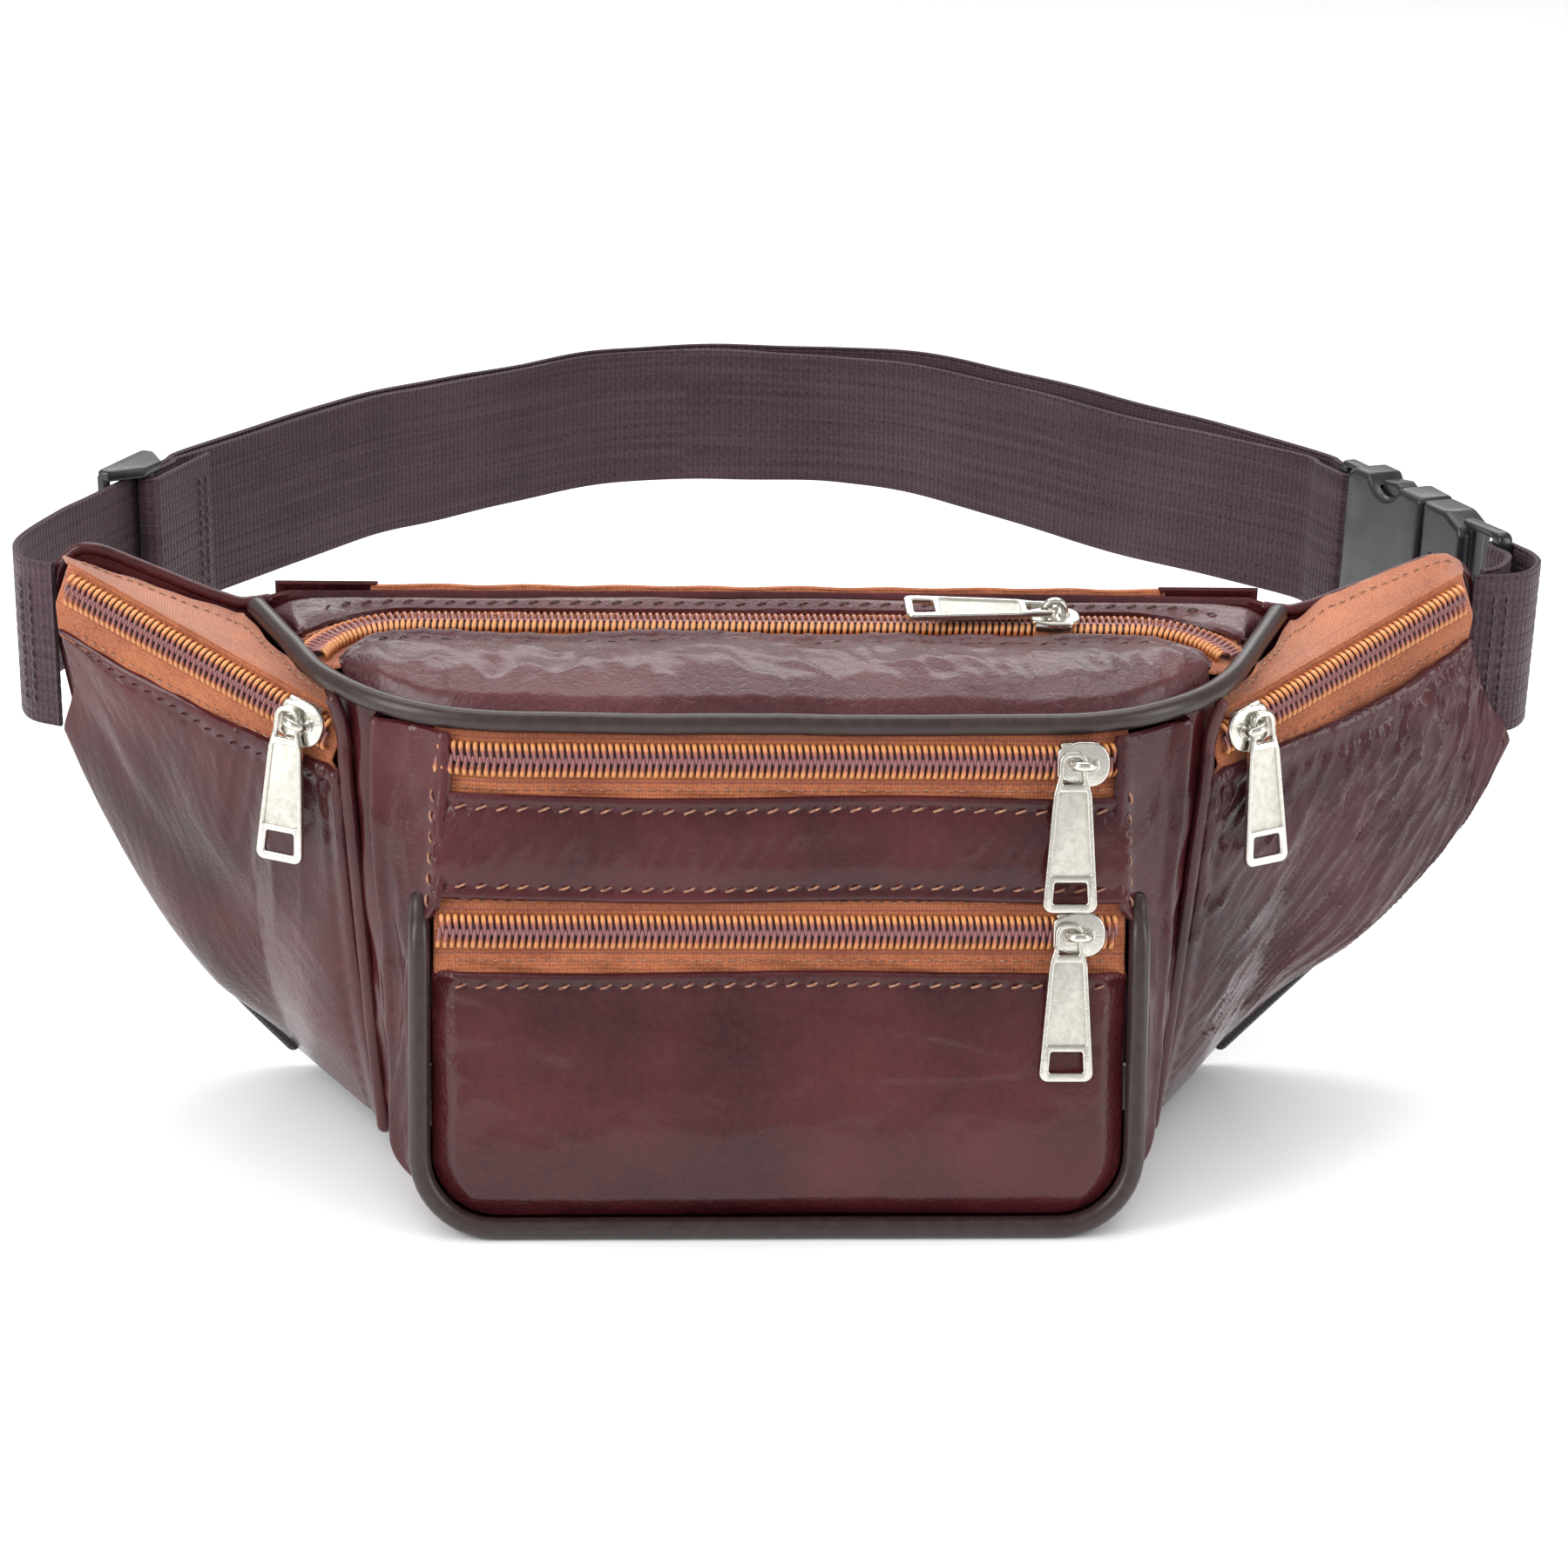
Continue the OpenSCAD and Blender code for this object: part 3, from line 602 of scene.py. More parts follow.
def webbing_look():
    """Ribbed webbing: rows of small slanted ribs with a stitch line between them."""
    k = Look("webbing", (0.09, 0.055, 0.065), 0.62,
             **{"Sheen Weight": 0.1, "Sheen Roughness": 0.35, "Specular IOR Level": 0.22})
    along, across = k.cloth()
    at = k.at()
    row = k.wave(across, 0.00345)
    slant = k.plus(along, k.times(row, 0.0003))
    rib, yarn = k.wave(slant, 0.0015), k.wave(across, 0.0008625)
    line = k.span(row, 0.0, 0.14, 1.0, 0.0)
    dash = k.times(line, k.span(k.wave(along, 0.0032), 0.35, 0.6))
    fuzz = k.span(k.noise(at, 1500.0, 3.0), 0.35, 0.7)
    patch = k.span(k.noise(at, 30.0, 3.0), 0.35, 0.68)
    streak = k.drawn(k.times(along, 14.0), k.times(across, 520.0))
    tone = k.mix(patch, (0.034, 0.0165, 0.022), (0.060, 0.032, 0.041))
    tone = k.tint(tone, k.span(streak, 0.4, 0.7), 0.6, (0.098, 0.060, 0.070))
    tone = k.tint(tone, k.inverse(rib), 0.38, (0.018, 0.009, 0.012))
    tone = k.tint(tone, fuzz, 0.2, (0.14, 0.095, 0.108))
    tone = k.tint(tone, line, 0.5, (0.026, 0.014, 0.018))
    tone = k.tint(tone, dash, 0.25, (0.13, 0.085, 0.095))
    k.colour(tone)
    k.rough(k.span(rib, 0, 1, 0.7, 0.5))
    weave = k.plus(k.times(rib, 0.7), k.times(yarn, 0.3))
    k.bump((weave, 0.0002), (k.inverse(line), 0.00012), (fuzz, 0.00005))
    return k.mat


def nickel_look(name, grit):
    """Pale nickel plate; grit gives the sand-blasted ground of the pulls' sunk panels."""
    k = Look(name, (0.78, 0.75, 0.69), 0.24, Metallic=1.0)
    at = k.at()
    spots = k.span(k.noise(at, 700.0, 4.0, 0.65), 0.38, 0.66)
    sand = k.noise(at, 2600.0, 3.0, 0.7)
    worn = k.span(k.noise(at, 160.0, 4.0, 0.6), 0.45, 0.75)
    k.colour(k.mix(k.times(spots, 0.35 + 0.3 * grit), (0.71, 0.69, 0.63), (0.50, 0.475, 0.42)))
    k.rough(k.span(worn, 0, 1, 0.16 + 0.26 * grit, 0.34 + 0.26 * grit))
    k.bump((sand, 0.00002 + 0.00011 * grit), (spots, 0.00002))
    return k.mat


def vinyl_look(name, colour, light, roughness):
    """Piping cover: soft extruded vinyl with faint drag lines and dust."""
    k = Look(name, colour, roughness,
             **{"Coat Weight": 0.25, "Coat Roughness": 0.3, "Specular IOR Level": 0.35})
    along, across = k.cloth()
    at = k.at()
    drag = k.drawn(k.times(along, 25.0), k.times(across, 900.0))
    spots = k.span(k.noise(at, 450.0, 3.0), 0.4, 0.7)
    k.colour(k.mix(k.times(spots, 0.5), colour, light))
    k.rough(k.span(drag, 0.3, 0.7, roughness - 0.05, roughness + 0.12))
    k.bump((k.noise(at, 1800.0, 2.0), 0.00003), (drag, 0.00002))
    return k.mat


def plastic_look():
    """Moulded black acetal: fine spark texture and rubbed patches."""
    k = Look("buckle plastic", (0.022, 0.022, 0.025), 0.32, **{"Specular IOR Level": 0.6})
    at = k.at()
    rub = k.span(k.noise(at, 120.0, 4.0, 0.6), 0.4, 0.7)
    k.colour(k.mix(k.times(rub, 0.5), (0.009, 0.009, 0.011), (0.026, 0.026, 0.03)))
    k.rough(k.span(rub, 0, 1, 0.26, 0.42))
    k.bump((k.noise(at, 3200.0, 2.0), 0.00003))
    return k.mat


def thread_look(name, colour, light):
    """Twisted polyester thread."""
    k = Look(name, colour, 0.5, **{"Sheen Weight": 0.3})
    at = k.at()
    k.colour(k.mix(k.span(k.noise(at, 1100.0, 2.0), 0.35, 0.65), colour, light))
    k.bump((k.wave(k.plus(k.cloth()[0], k.cloth()[1]), 0.0005), 0.00008))
    return k.mat


def cloth_look(name, dark, light, period):
    """Plain weave, for the lining and the edge binding."""
    k = Look(name, dark, 0.8, **{"Sheen Weight": 0.2})
    along, across = k.cloth()
    weave = k.times(k.wave(along, period), k.wave(across, period))
    k.colour(k.mix(weave, dark, light))
    k.bump((weave, 0.0001))
    return k.mat


def floor_look():
    k = Look("floor", (0.86, 0.86, 0.86), 0.55)
    k.colour(k.mix(k.noise(k.at(), 3.0, 2.0), (0.84, 0.84, 0.84), (0.88, 0.88, 0.88)))
    return k.mat


LEATHER = leather_look("leather", (0.027, 0.0042, 0.0058), (0.072, 0.0118, 0.0148), 0.00005, 0.00011)
WING_LEATHER = leather_look("wrinkled leather", (0.028, 0.0055, 0.0080), (0.066, 0.0145, 0.0185),
                            0.00004, 0.0004, 0.26, -0.5)
# Top leather: painted light, a lighter copy of the bag's leather standing in for the top's brighter lighting;
# its pebbled grain is its own
TOP_LEATHER_PAINTED_LIGHTER = leather_look("pebbled leather painted lighter", (0.044, 0.0105, 0.0135), (0.088, 0.0245, 0.0290),
                           0.00009, 0.0002, 0.3, coat=0.22)
TAPE, COIL, WEBBING = tape_look(), coil_look(), webbing_look()
CORE = thread_look("coil core", (0.035, 0.010, 0.014), (0.08, 0.025, 0.035))
NICKEL, SAND = nickel_look("nickel", 0), nickel_look("sanded nickel", 1)
VINYL = vinyl_look("piping vinyl", (0.024, 0.0125, 0.0120), (0.044, 0.027, 0.026), 0.3)
PLASTIC = plastic_look()
THREAD = thread_look("leather thread", (0.20, 0.07, 0.04), (0.46, 0.22, 0.12))
BROWN_THREAD = thread_look("top thread", (0.04, 0.015, 0.014), (0.12, 0.055, 0.045))
DARK_THREAD = thread_look("webbing thread", (0.035, 0.02, 0.024), (0.10, 0.065, 0.075))
BINDING = cloth_look("edge binding", (0.012, 0.011, 0.012), (0.05, 0.045, 0.048), 0.0012)
LINING = cloth_look("lining", (0.05, 0.036, 0.036), (0.13, 0.10, 0.10), 0.0007)


# ---------------------------------------------------------------- the bag's faces
def corner_back(x):
    """How far the top's round corners lie behind its front edge."""
    over = min(max(0.0, abs(x) - ARC_X), ARC_R)
    return ARC_R - sqrt(ARC_R ** 2 - over ** 2)


def on_front(x, v, n):
    """v up the front face's slope, n out of it; near the top its ends bend back with the top."""
    back = corner_back(x) * smooth((v - BEND_FROM) / BEND_OVER)
    return np.array([x, FOOT_Y + v * sin(LEAN) - n * cos(LEAN) + back,
                     v * cos(LEAN) + n * sin(LEAN)])


def on_top(x, y, n):
    return np.array([x, TOP_Y + y * cos(SLOPE) - n * sin(SLOPE),
                     FRONT_H + y * sin(SLOPE) + n * cos(SLOPE)])


def outline(length, off=0.0):
    """The top's outline, from the start of its round corner; off is outwards."""
    a, s = min(length / ARC_R, ARC_A), max(length - ARC_R * ARC_A, 0)
    return np.array([ARC_X + (ARC_R + off) * sin(a) + s * cos(ARC_A),
                     ARC_R - (ARC_R + off) * cos(a) + s * sin(ARC_A)])


def roof_z(y):
    return FRONT_H + (y - TOP_Y) * tan(SLOPE)


def mirror(side, p):
    return np.array([side * p[0], p[1], p[2]])


def pucker(length):
    """How deep a row of stitches draws the leather in, at a length along the row."""
    return 0.65 + 0.35 * cos(2 * pi * length / STITCH_PITCH)


def leather(name, node, sheet, rows=(), look=LEATHER, thread=THREAD, **stitch):
    """A sheet of the bag's leather with its rows of stitches."""
    shape = sheet.into(Shape())
    for row in rows:
        stitches(shape, row, look=1, **stitch)
    piece(name, shape, [look, thread] if rows else look, "bag", [node])


def front_strip():
    def surface(u, w):
        x, v = lerp(-BAND_HALF, BAND_HALF, u), lerp(*STRIP, w)
        edge = min(v - STRIP[0], STRIP[1] - v)
        n = 0.9 + 1.3 * smooth(edge / 8) + 0.8 * hump(edge - 0.9, 0.9)
        n -= 0.65 * hump(edge - 2.8, 0.8) * pucker(x)
        folds = ridge(x * 0.22 - v * 0.12, v * 0.05 + x * 0.04, 2)
        n += 0.5 * rough(x * 0.05, v * 0.06, 3) + 0.3 * folds * smooth(edge / 5)
        return on_front(x, v + 0.35 * sin(x * 0.07), n)
    s = Sheet(surface, 180, 34, LEATHER_T, (0, -1, 0))
    leather("strip_between_zips", "front_strip", s, [s.along(v, 0.01, 0.99) for v in (0.128, 0.872)])


def front_pocket():
    low, half, r = 2 * CORD_R + 0.3, FRONT_HALF - CORD_R - 0.3, CORNER_R - CORD_R

    def surface(u, w):
        v = lerp(low, POCKET_TOP, w ** 1.3)
        rise = max(0.0, low + r - v)
        reach = half - r + sqrt(max(0.0, r * r - rise * rise))
        x = reach * (2 * u - 1)
        edge = min(reach - abs(x), v - low)
        top = POCKET_TOP - v
        n = -1.6 + 2.9 * smooth(edge / 6) ** 0.8
        n += 4.2 * (1 - abs(x / half) ** 2.6) * sin(pi * ((v - low) / (POCKET_TOP - low)) ** 0.8)
        n += 0.9 * hump(top - 0.8, 0.9) - 0.65 * hump(top - 2.8, 0.8) * pucker(x) - 0.35 * hump(top - 6, 3)
        n += 0.9 * rough(x * 0.022, v * 0.035, 7) + 0.14 * rough(x * 0.12, v * 0.16, 9)
        folds = ridge(x * 0.03 + 4, v * 0.12 + x * 0.02, 5)
        n += 0.35 * folds * smooth(edge / 8) * smooth((30 - abs(top - 14)) / 30)
        return on_front(x, v + 0.3 * sin(x * 0.06 + 1) * smooth(1 - top / 10), n)
    s = Sheet(surface, 170, 74, LEATHER_T, (0, -1, 0))
    leather("pocket_front", "front_pocket_panel", s, [s.along(0.96, 0.01, 0.99)])


def front_lining():
    def surface(u, w):
        return on_front(lerp(-70, 70, u), lerp(6, 104, w), LINING_OUT + 0.5 * rough(u * 5, w * 4))
    s = Sheet(surface, 60, 40, TAPE_T, (0, -1, 0))
    piece("front_pocket_lining", s.into(Shape()), LINING, "bag", ["front_divider"])


def piping():
    """Vinyl cords round the front face and along the top's front edge."""
    r = CORNER_R
    side = [(-FRONT_HALF, v) for v in np.linspace(PIPING_END, r + CORD_R, 20)]
    turn = [(-FRONT_HALF + r - r * cos(a), r + CORD_R - r * sin(a))
            for a in np.linspace(0.1, pi / 2, 14)]
    half = side + turn + [(x, CORD_R) for x in np.linspace(r - FRONT_HALF + 3, 0, 16)]
    run = half + [(-x, v) for x, v in half[-2::-1]]
    path = [on_front(x, v, 0.15 * rough(x * 0.05, v * 0.05, 11) - 3.2 * smooth((v - PIPING_END + 7) / 7))
            for x, v in run]
    shape = tube(Shape(), resampled(np.array(path), 1.5), CORD_R, sides=20, up=(0, -1, 0))
    piece("front_piping_cord", shape, VINYL, "bag", ["front_piping"])
    half = [outline(s) for s in np.linspace(OUTLINE_LEN - 3, 0, 60)]
    half += [np.array([x, 0.0]) for x in np.linspace(53, 0, 24)]
    run = half + [np.array([-x, y]) for x, y in half[-2::-1]]
    path = [on_top(x, y, 0.25 * rough(x * 0.04, y * 0.05, 12) - 0.4 * hump(abs(x) - 20, 25)) for x, y in run]
    shape = tube(Shape(), resampled(np.array(path), 1.5), CORD_R, sides=20)
    piece("top_piping_cord", shape, VINYL, "bag", ["top_piping"])


def top_rim(s, off):
    """The top zip's line moved sideways: s from -1 to 1 ends where it meets the piping."""
    turn = radians(90 - (6 if off < 0 else 30))
    total = TOP_ZIP_X + (TOP_ZIP_R + off) * turn
    l = abs(s) * total
    a = max(0.0, l - TOP_ZIP_X) / (TOP_ZIP_R + off)
    x = min(l, TOP_ZIP_X) + (TOP_ZIP_R + off) * sin(a)
    return np.array([copysign(x, s), TOP_ZIP_Y - TOP_ZIP_R + (TOP_ZIP_R + off) * cos(a)])


def run_out(line, s):
    """A point at share |s| of the way along a half outline, mirrored to the left for s < 0."""
    at = lengths(line)
    want = abs(s) * at[-1]
    return np.array([copysign(np.interp(want, at, line[:, 0]), s), np.interp(want, at, line[:, 1])])


def top_panel():
    front = np.array([[0, PIPING_INSET]] + [outline(l, -PIPING_INSET) for l in np.linspace(0, 46, 30)])

    def surface(u, w):
        s = 2 * u - 1
        a, b = run_out(front, s), top_rim(s, -ZIP_EDGE)
        p = lerp(a, b, w)
        span = np.linalg.norm(b - a)
        fore, aft = w * span, (1 - w) * span
        bulge = sin(pi * min(1, w * 1.08))
        n = -1.6 + 2.7 * smooth(fore / 5) + 3.4 * bulge ** 0.8 * min(1, span / 24)
        n += 1.1 * hump(aft - 1.2, 1.3) - 0.7 * hump(aft - 4.4, 0.9) * pucker(p[0])
        n += 1.0 * rough(p[0] * 0.035, p[1] * 0.06, 21)
        n += 0.5 * ridge(p[0] * 0.13, p[1] * 0.09 + p[0] * 0.05, 22) * smooth(fore / 9)
        return on_top(p[0], p[1], n)
    s = Sheet(surface, 210, 52, LEATHER_T, (0, 0, 1))
    leather("top_front_leather", "top_panel", s, [s.along(0.885, 0.05, 0.95)], TOP_LEATHER_PAINTED_LIGHTER, BROWN_THREAD,
            pitch=4.6)


def top_rear():
    back = outline(OUTLINE_LEN, -PIPING_INSET)
    rear = np.array([[0, back[1]], [back[0] - 6, back[1]], [back[0] - 1.5, back[1] - 1.5]]
                    + [outline(l, -PIPING_INSET) for l in np.linspace(OUTLINE_LEN - 4, 70, 10)])

    def surface(u, w):
        s = 2 * u - 1
        a, b = top_rim(s, ZIP_EDGE - 0.6), run_out(rear, s)
        p = lerp(a, b, w)
        aft = (1 - w) * np.linalg.norm(b - a)
        n = 1.0 + 0.8 * sin(pi * w) - 2.6 * smooth((w - 0.72) / 0.28)
        n += 0.3 * rough(p[0] * 0.05, p[1] * 0.1, 23)
        return on_top(p[0], p[1], n + 0.25 * hump(aft - 2, 1))
    s = Sheet(surface, 230, 16, LEATHER_T, (0, 0, 1))
    leather("top_rear_leather", "top_rear_strip", s, [s.along(0.3, 0.04, 0.96)], TOP_LEATHER_PAINTED_LIGHTER, BROWN_THREAD,
            pitch=4.6, size=2.6, r=0.24)


# Gussets
SEAM_AT = 0.62                  # share of the bag's depth where the wing is sewn to the gusset
UNDER_AT = 0.72                 # share of a gusset's height where it turns under the base
SHOULDER = 62                   # above this its front edge comes forward, beside the upper zip


def bag_side(t, z):
    """x and y of the bag's right side at a height z, t from its front edge to its back."""
    top = outline(lerp(18.5, OUTLINE_LEN - 1, t)) + [0, TOP_Y]
    a, b, c = np.array([77, FOOT_Y + 2.8]), np.array([83, -20]), np.array([91, BACK_Y - 0.7])
    return lerp(lerp(lerp(a, b, t), lerp(b, c, t), t), top, z / FRONT_H)


def gusset(side, name, seed):
    def surface(u, w):
        t = SEAM_AT * u
        if w < UNDER_AT:
            top = bag_side(t, FRONT_H)
            z, curl = lerp(roof_z(top[1]) - 3.2, CORNER_R, w / UNDER_AT), 0.0
        else:
            a = (w - UNDER_AT) / (1 - UNDER_AT) * pi / 2
            z, curl = CORNER_R * (1 - sin(a)), CORNER_R * (1 - cos(a))
        p = bag_side(t, z)
        x = p[0] - 0.6 - 1.3 * sin(pi * min(1, t / 0.42)) - curl
        edge = t / 0.28
        over = (1 - smooth(t / 0.08)) * smooth((z - SHOULDER) / 9)
        crest = 0.17 + 0.05 * (1 - z / FRONT_H) + 0.012 * sin(z * 0.06 + seed)
        out = 1.9 * sin(pi * min(1, edge))
        out += 2.5 * hump(t - crest, 0.032) - 1.8 * hump(t - crest - 0.075, 0.03)
        out += 1.3 * hump((z - SHOULDER) + (t - 0.02) * 240, 7) * (1 - smooth(t / 0.2))
        out += 0.9 * rough(t * 9, z * 0.035, seed) + 0.3 * ridge(t * 14, z * 0.06, seed + 1)
        out *= smooth((1 - w) / 0.25)
        out += 0.9 * hump(t * 75 - 1.2, 1.4)
        x += out * 0.86 - 3.4 * over
        return mirror(side, (x, p[1] - out * 0.5 - 3.3 * over, z))
    s = Sheet(surface, 100, 130, LEATHER_T, (side, -0.4, 0))
    leather(name, "gusset_" + name.split("_")[1], s, [s.across(0.045, 0.06, 0.32)])


def wing_seam(side, name):
    """Folded leather edge where a gusset and a wing are sewn together, over the wing zip's inner end."""
    line = [(94.0, -12.6, 106.4), (92.8, -12.9, 103), (92.0, -12.9, 98), (91.7, -14.0, 91),
            (90.4, -14.6, 75), (88.6, -14.6, 50), (86.6, -14.2, 25), (85.2, -13.2, 8)]
    path = spline([mirror(side, np.array(p) + 0.25 * rough(p[2] * 0.06, side, 33)) for p in line], 12)
    shape = tube(Shape(), resampled(path, 1.2), 1.7, sides=16, up=unit([side * 0.5, -0.85, 0]), flat=0.75)
    piece(name, shape, LEATHER, "bag")


def base():
    front, back = bag_side(0, 0), bag_side(1, 0)
    inset = 2.4 + CORNER_R - 2

    def surface(u, w):
        half = lerp(front[0], back[0], w) - inset
        z = 1.5 + 0.08 * rough(u * 12, w * 8, 31)
        return np.array([half * (2 * u - 1), lerp(front[1], BACK_Y - 0.3, w), z])
    leather("base_leather", "base_panel", Sheet(surface, 120, 60, 1.45, (0, 0, 1)))


# Wings
WING_D = axis("wing_right_zip_slide")
WING_N = axis("wing_right_pull_swing")
WING_UP = np.cross(WING_N, WING_D)
WING_BOX = box("wing_right_coil")
WING_MID = (WING_BOX[0] + WING_BOX[1]) / 2 - 0.6 * WING_N
WING_LEN = 72.3                 # of the zip's coil
WING_W, WING_H = 78, 80         # rough size of the leather, along the zip and down from it
WRAP = 1.05                     # past 1, the leather turns round the wing's tip
TAPE_FLAT = (0.27, 0.62)        # shares across the tape between which it lies flat beside the coil
TIP_OUT, TIP_IN = 8.0, 3.5      # how far the tips' lower corners hang: the right one out, the left one in
EDGE_ROLL = 4.6                 # how far the wings' leather rolls out past their lower edge
CREST_JOIN = 0.4                # share of a tape's upper edge that follows the top's outline
BACK_HIGH = np.array([[0, TOP_Z + 1.5], [108, TOP_Z + 1], [113, TOP_Z - 0.5], [118, 113.5], [124, 115.4],
                      [148, 125.6], [152, 126], [155, 124.4], [158.5, 118]])


def crest_z(x):
    """Height of the back panel's upper edge, x from the middle."""
    return float(np.interp(x, BACK_HIGH[:, 0], BACK_HIGH[:, 1]))


def wing_line(l, w):
    """The wing zip's line: l along it from its middle, w across it."""
    return WING_MID + l * WING_D + w * WING_UP


def wing_edge(s):
    sag = np.array([0, 0, 2 * sin(pi * s)])
    return lerp(np.array([93, -13.5, 91]), np.array([TIP_X - 1, 24, 110]), s) - sag


def wing_low(s):
    turn = np.array([108, BACK_Y - 0.8, 5])
    if s < 0.35:
        return lerp(np.array([85, -12, 8]), turn, s / 0.35)
    q = (s - 0.35) / 0.65
    return lerp(turn, np.array([TIP_X, BACK_Y - 1, 82]), q) + np.array([7 * sin(pi * q), 0, 0])


def settled(side, p):
    """The lower corner of the right wing's tip hangs out and that of the left is drawn in."""
    reach = smooth((p[0] - 100) / 52) * smooth((114 - p[2]) / 30) * smooth((p[2] - 10) / 60)
    return np.array([p[0] + (TIP_OUT if side > 0 else -TIP_IN) * reach, p[1], p[2]])


def wing_point(s, v):
    a, b = wing_edge(s), wing_low(s)
    m = (a + b) / 2 + 18 * sin(pi * s ** 0.6) * np.array([0.2, -0.75, -0.63])
    return lerp(lerp(a, m, v), lerp(m, b, v), v)


def wing_leather(side, name, fine):
    """Outer leather of a wing; fine is how strongly small diagonal wrinkles run down from its zip."""
    out = unit([0.35, -0.85, -0.25])
    roll_from = 0.42 if side > 0 else 0.33

    def surface(u, v):
        s = min(1.0, u * WRAP)
        p = wing_point(s, v)
        x, y = s * WING_W, v * WING_H
        d = 0.9 * hump(x - 1.4, 1.6) + 0.7 * hump(y - 1.2, 1.4) - 0.5 * hump(y - 4.2, 0.9) * pucker(x)
        d -= 0.45 * hump(x - 4.4, 0.9) * pucker(y)
        calm = smooth((WING_W - x) / 14) * smooth((WING_H - y) / 18) * smooth(x / 10) * smooth(y / 6)
        d += 1.6 * rough(x * 0.028, y * 0.03, 40 + side) * calm
        a, b = x * 0.80 + y * 0.60, -x * 0.60 + y * 0.80                # across and along the wrinkles
        fade = smooth((y - 2) / 6) * smooth((74 - y) / 40)
        sway = 0.5 * rough(x * 0.05, y * 0.05, 3)
        d += fine * 1.0 * (ridge(a * 0.17 + sway, b * 0.022, 44) - 0.3) * fade
        d += fine * 0.7 * ridge(a * 0.33 + sway, b * 0.035, 46) * calm
        d += fine * 0.4 * ridge(a * 0.6 - sway, b * 0.05, 47) * calm
        soft = 1 - fine
        d += soft * 2.2 * rough((x - 0.25 * y) * 0.075, y * 0.012, 48, 1) * hump(y - 24, 30) * smooth(x / 14)
        d += soft * 0.8 * ridge(x * 0.14 - y * 0.03, y * 0.03, 49) * hump(y - 14, 16) * hump(x - 22, 18)
        gather = hump(y - 13, 13) * smooth((x - 12) / 25) * smooth((WING_W - x) / 6)
        d += fine * 1.1 * (ridge(x * 0.21 + y * 0.03 + sway, y * 0.025, 51) - 0.25) * gather
        roll = sin(pi * max(0.0, 2 * v - 1) ** 1.6) * smooth((s - roll_from) / 0.15)
        p = p + out * d + EDGE_ROLL * roll * np.array([0.84, 0, -0.54])
        tip = max(0.0, u * WRAP - 1.0) / (WRAP - 1)
        if tip > 0:
            goal = np.array([TIP_X + 0.6, BACK_Y - 0.4, lerp(p[2], lerp(111, 82, v), 0.5)])
            p = lerp(p, goal, smooth(tip))
        p = settled(side, p)
        return mirror(side, p + [0, -2.4 * max(0.0, p[0] - TIP_X) / TIP_OUT, 0])
    s = Sheet(surface, 130, 120, LEATHER_T, (side * 0.3, -1, -0.2))
    shape = s.into(Shape())
    if side < 0:
        stitches(shape, s.along(0.035, 0.02, 0.93), pitch=3.4, size=2.0, r=0.22)
    look = WING_LEATHER if fine > 0.5 else LEATHER
    piece(name, shape, look, "bag", ["wing_panel_" + name.split("_")[1]])


def wing_crest(side, s):
    """The tape's upper edge; on the right it covers the wing's leather edge."""
    if s < CREST_JOIN:
        clear = smooth(s / 0.12)
        p = outline(lerp(46, OUTLINE_LEN - 2, s / CREST_JOIN), lerp(-1.0, CORD_R + 0.7, clear))
        return np.array([p[0], p[1] + TOP_Y, roof_z(p[1] + TOP_Y) - lerp(3.0, 1.2, clear)])
    inner, tip = np.array([118.5, BACK_Y - 1.3, 111.5]), np.array([TIP_X - 1.5, BACK_Y - 1.4, 124.5])
    p = lerp(inner, tip, (s - CREST_JOIN) / 0.6)
    if side > 0:
        over = crest_z(p[0]) + 1.6 + 0.7 * rough(p[0] * 0.12, 3, 53)
        p[2] = lerp(p[2], over, smooth((s - CREST_JOIN) / 0.12))
    return p


def wing_tape(side, name):
    middle = sum(TAPE_FLAT) / 2

    def surface(s, w):
        c = wing_line(lerp(-WING_LEN / 2 - 1.5, WING_LEN / 2 + 1.0, s), 0)
        e = wing_edge(s) + np.array([0, 0.8, -1.5])
        stops = [e, c - 5.2 * WING_UP, c + 5.2 * WING_UP, wing_crest(side, s)]
        p = np.array([np.interp(w, [0, *TAPE_FLAT, 1], [q[k] for q in stops]) for k in range(3)])
        away = max(0.0, abs(w - middle) - 0.19) * smooth(s / 0.15)
        p = p + WING_N * away * (0.9 * sin(s * 44 + 3 * w) + 2.4 * rough(s * 6, w * 3, 52 + side))
        return mirror(side, p)
    s = Sheet(surface, 110, 40, TAPE_T, (side * 0.3, -1, 0.3))
    shape = s.into(Shape(), middle)
    for v in (0.9, 0.12):
        tape_stitches(shape, s.along(v, 0.03, 0.97), 0.2, 0.05)
    piece(name, shape, [TAPE, THREAD], "bag", [name.replace("zip_", "")])


# Back
BACK_LOW = np.array([[wing_low(s)[0] + 0.2, wing_low(s)[2] - 0.2] for s in np.linspace(0.35, 1, 30)])
BACK_POCKET_HALF, BACK_POCKET_TOP = 112, 104.6
BACK_POCKET_CUT = 94            # outside this its lower corners are cut off


def back_leather():
    edge = BACK_LOW[-1, 0]
    foot = np.r_[100, BACK_LOW[:, 0]], np.r_[1, BACK_LOW[:, 1]]

    def surface(u, w):
        x = edge * sin(pi / 2 * (2 * u - 1)) * 0.35 + edge * (2 * u - 1) * 0.65
        low = 1.0 if abs(x) < 100 else float(np.interp(abs(x), *foot))
        z = lerp(low, crest_z(abs(x)), w)
        rim = min(w, 1 - w, 1 - abs(2 * u - 1))
        y = BACK_Y + LEATHER_T + 0.7 * rough(x * 0.03, z * 0.03, 61) * smooth(rim / 0.1)
        side = 1 if x > 0 else -1
        return mirror(side, settled(side, np.array([abs(x), y, z])))
    leather("back_leather", "back_panel", Sheet(surface, 260, 90, LEATHER_T, (0, 1, 0)))


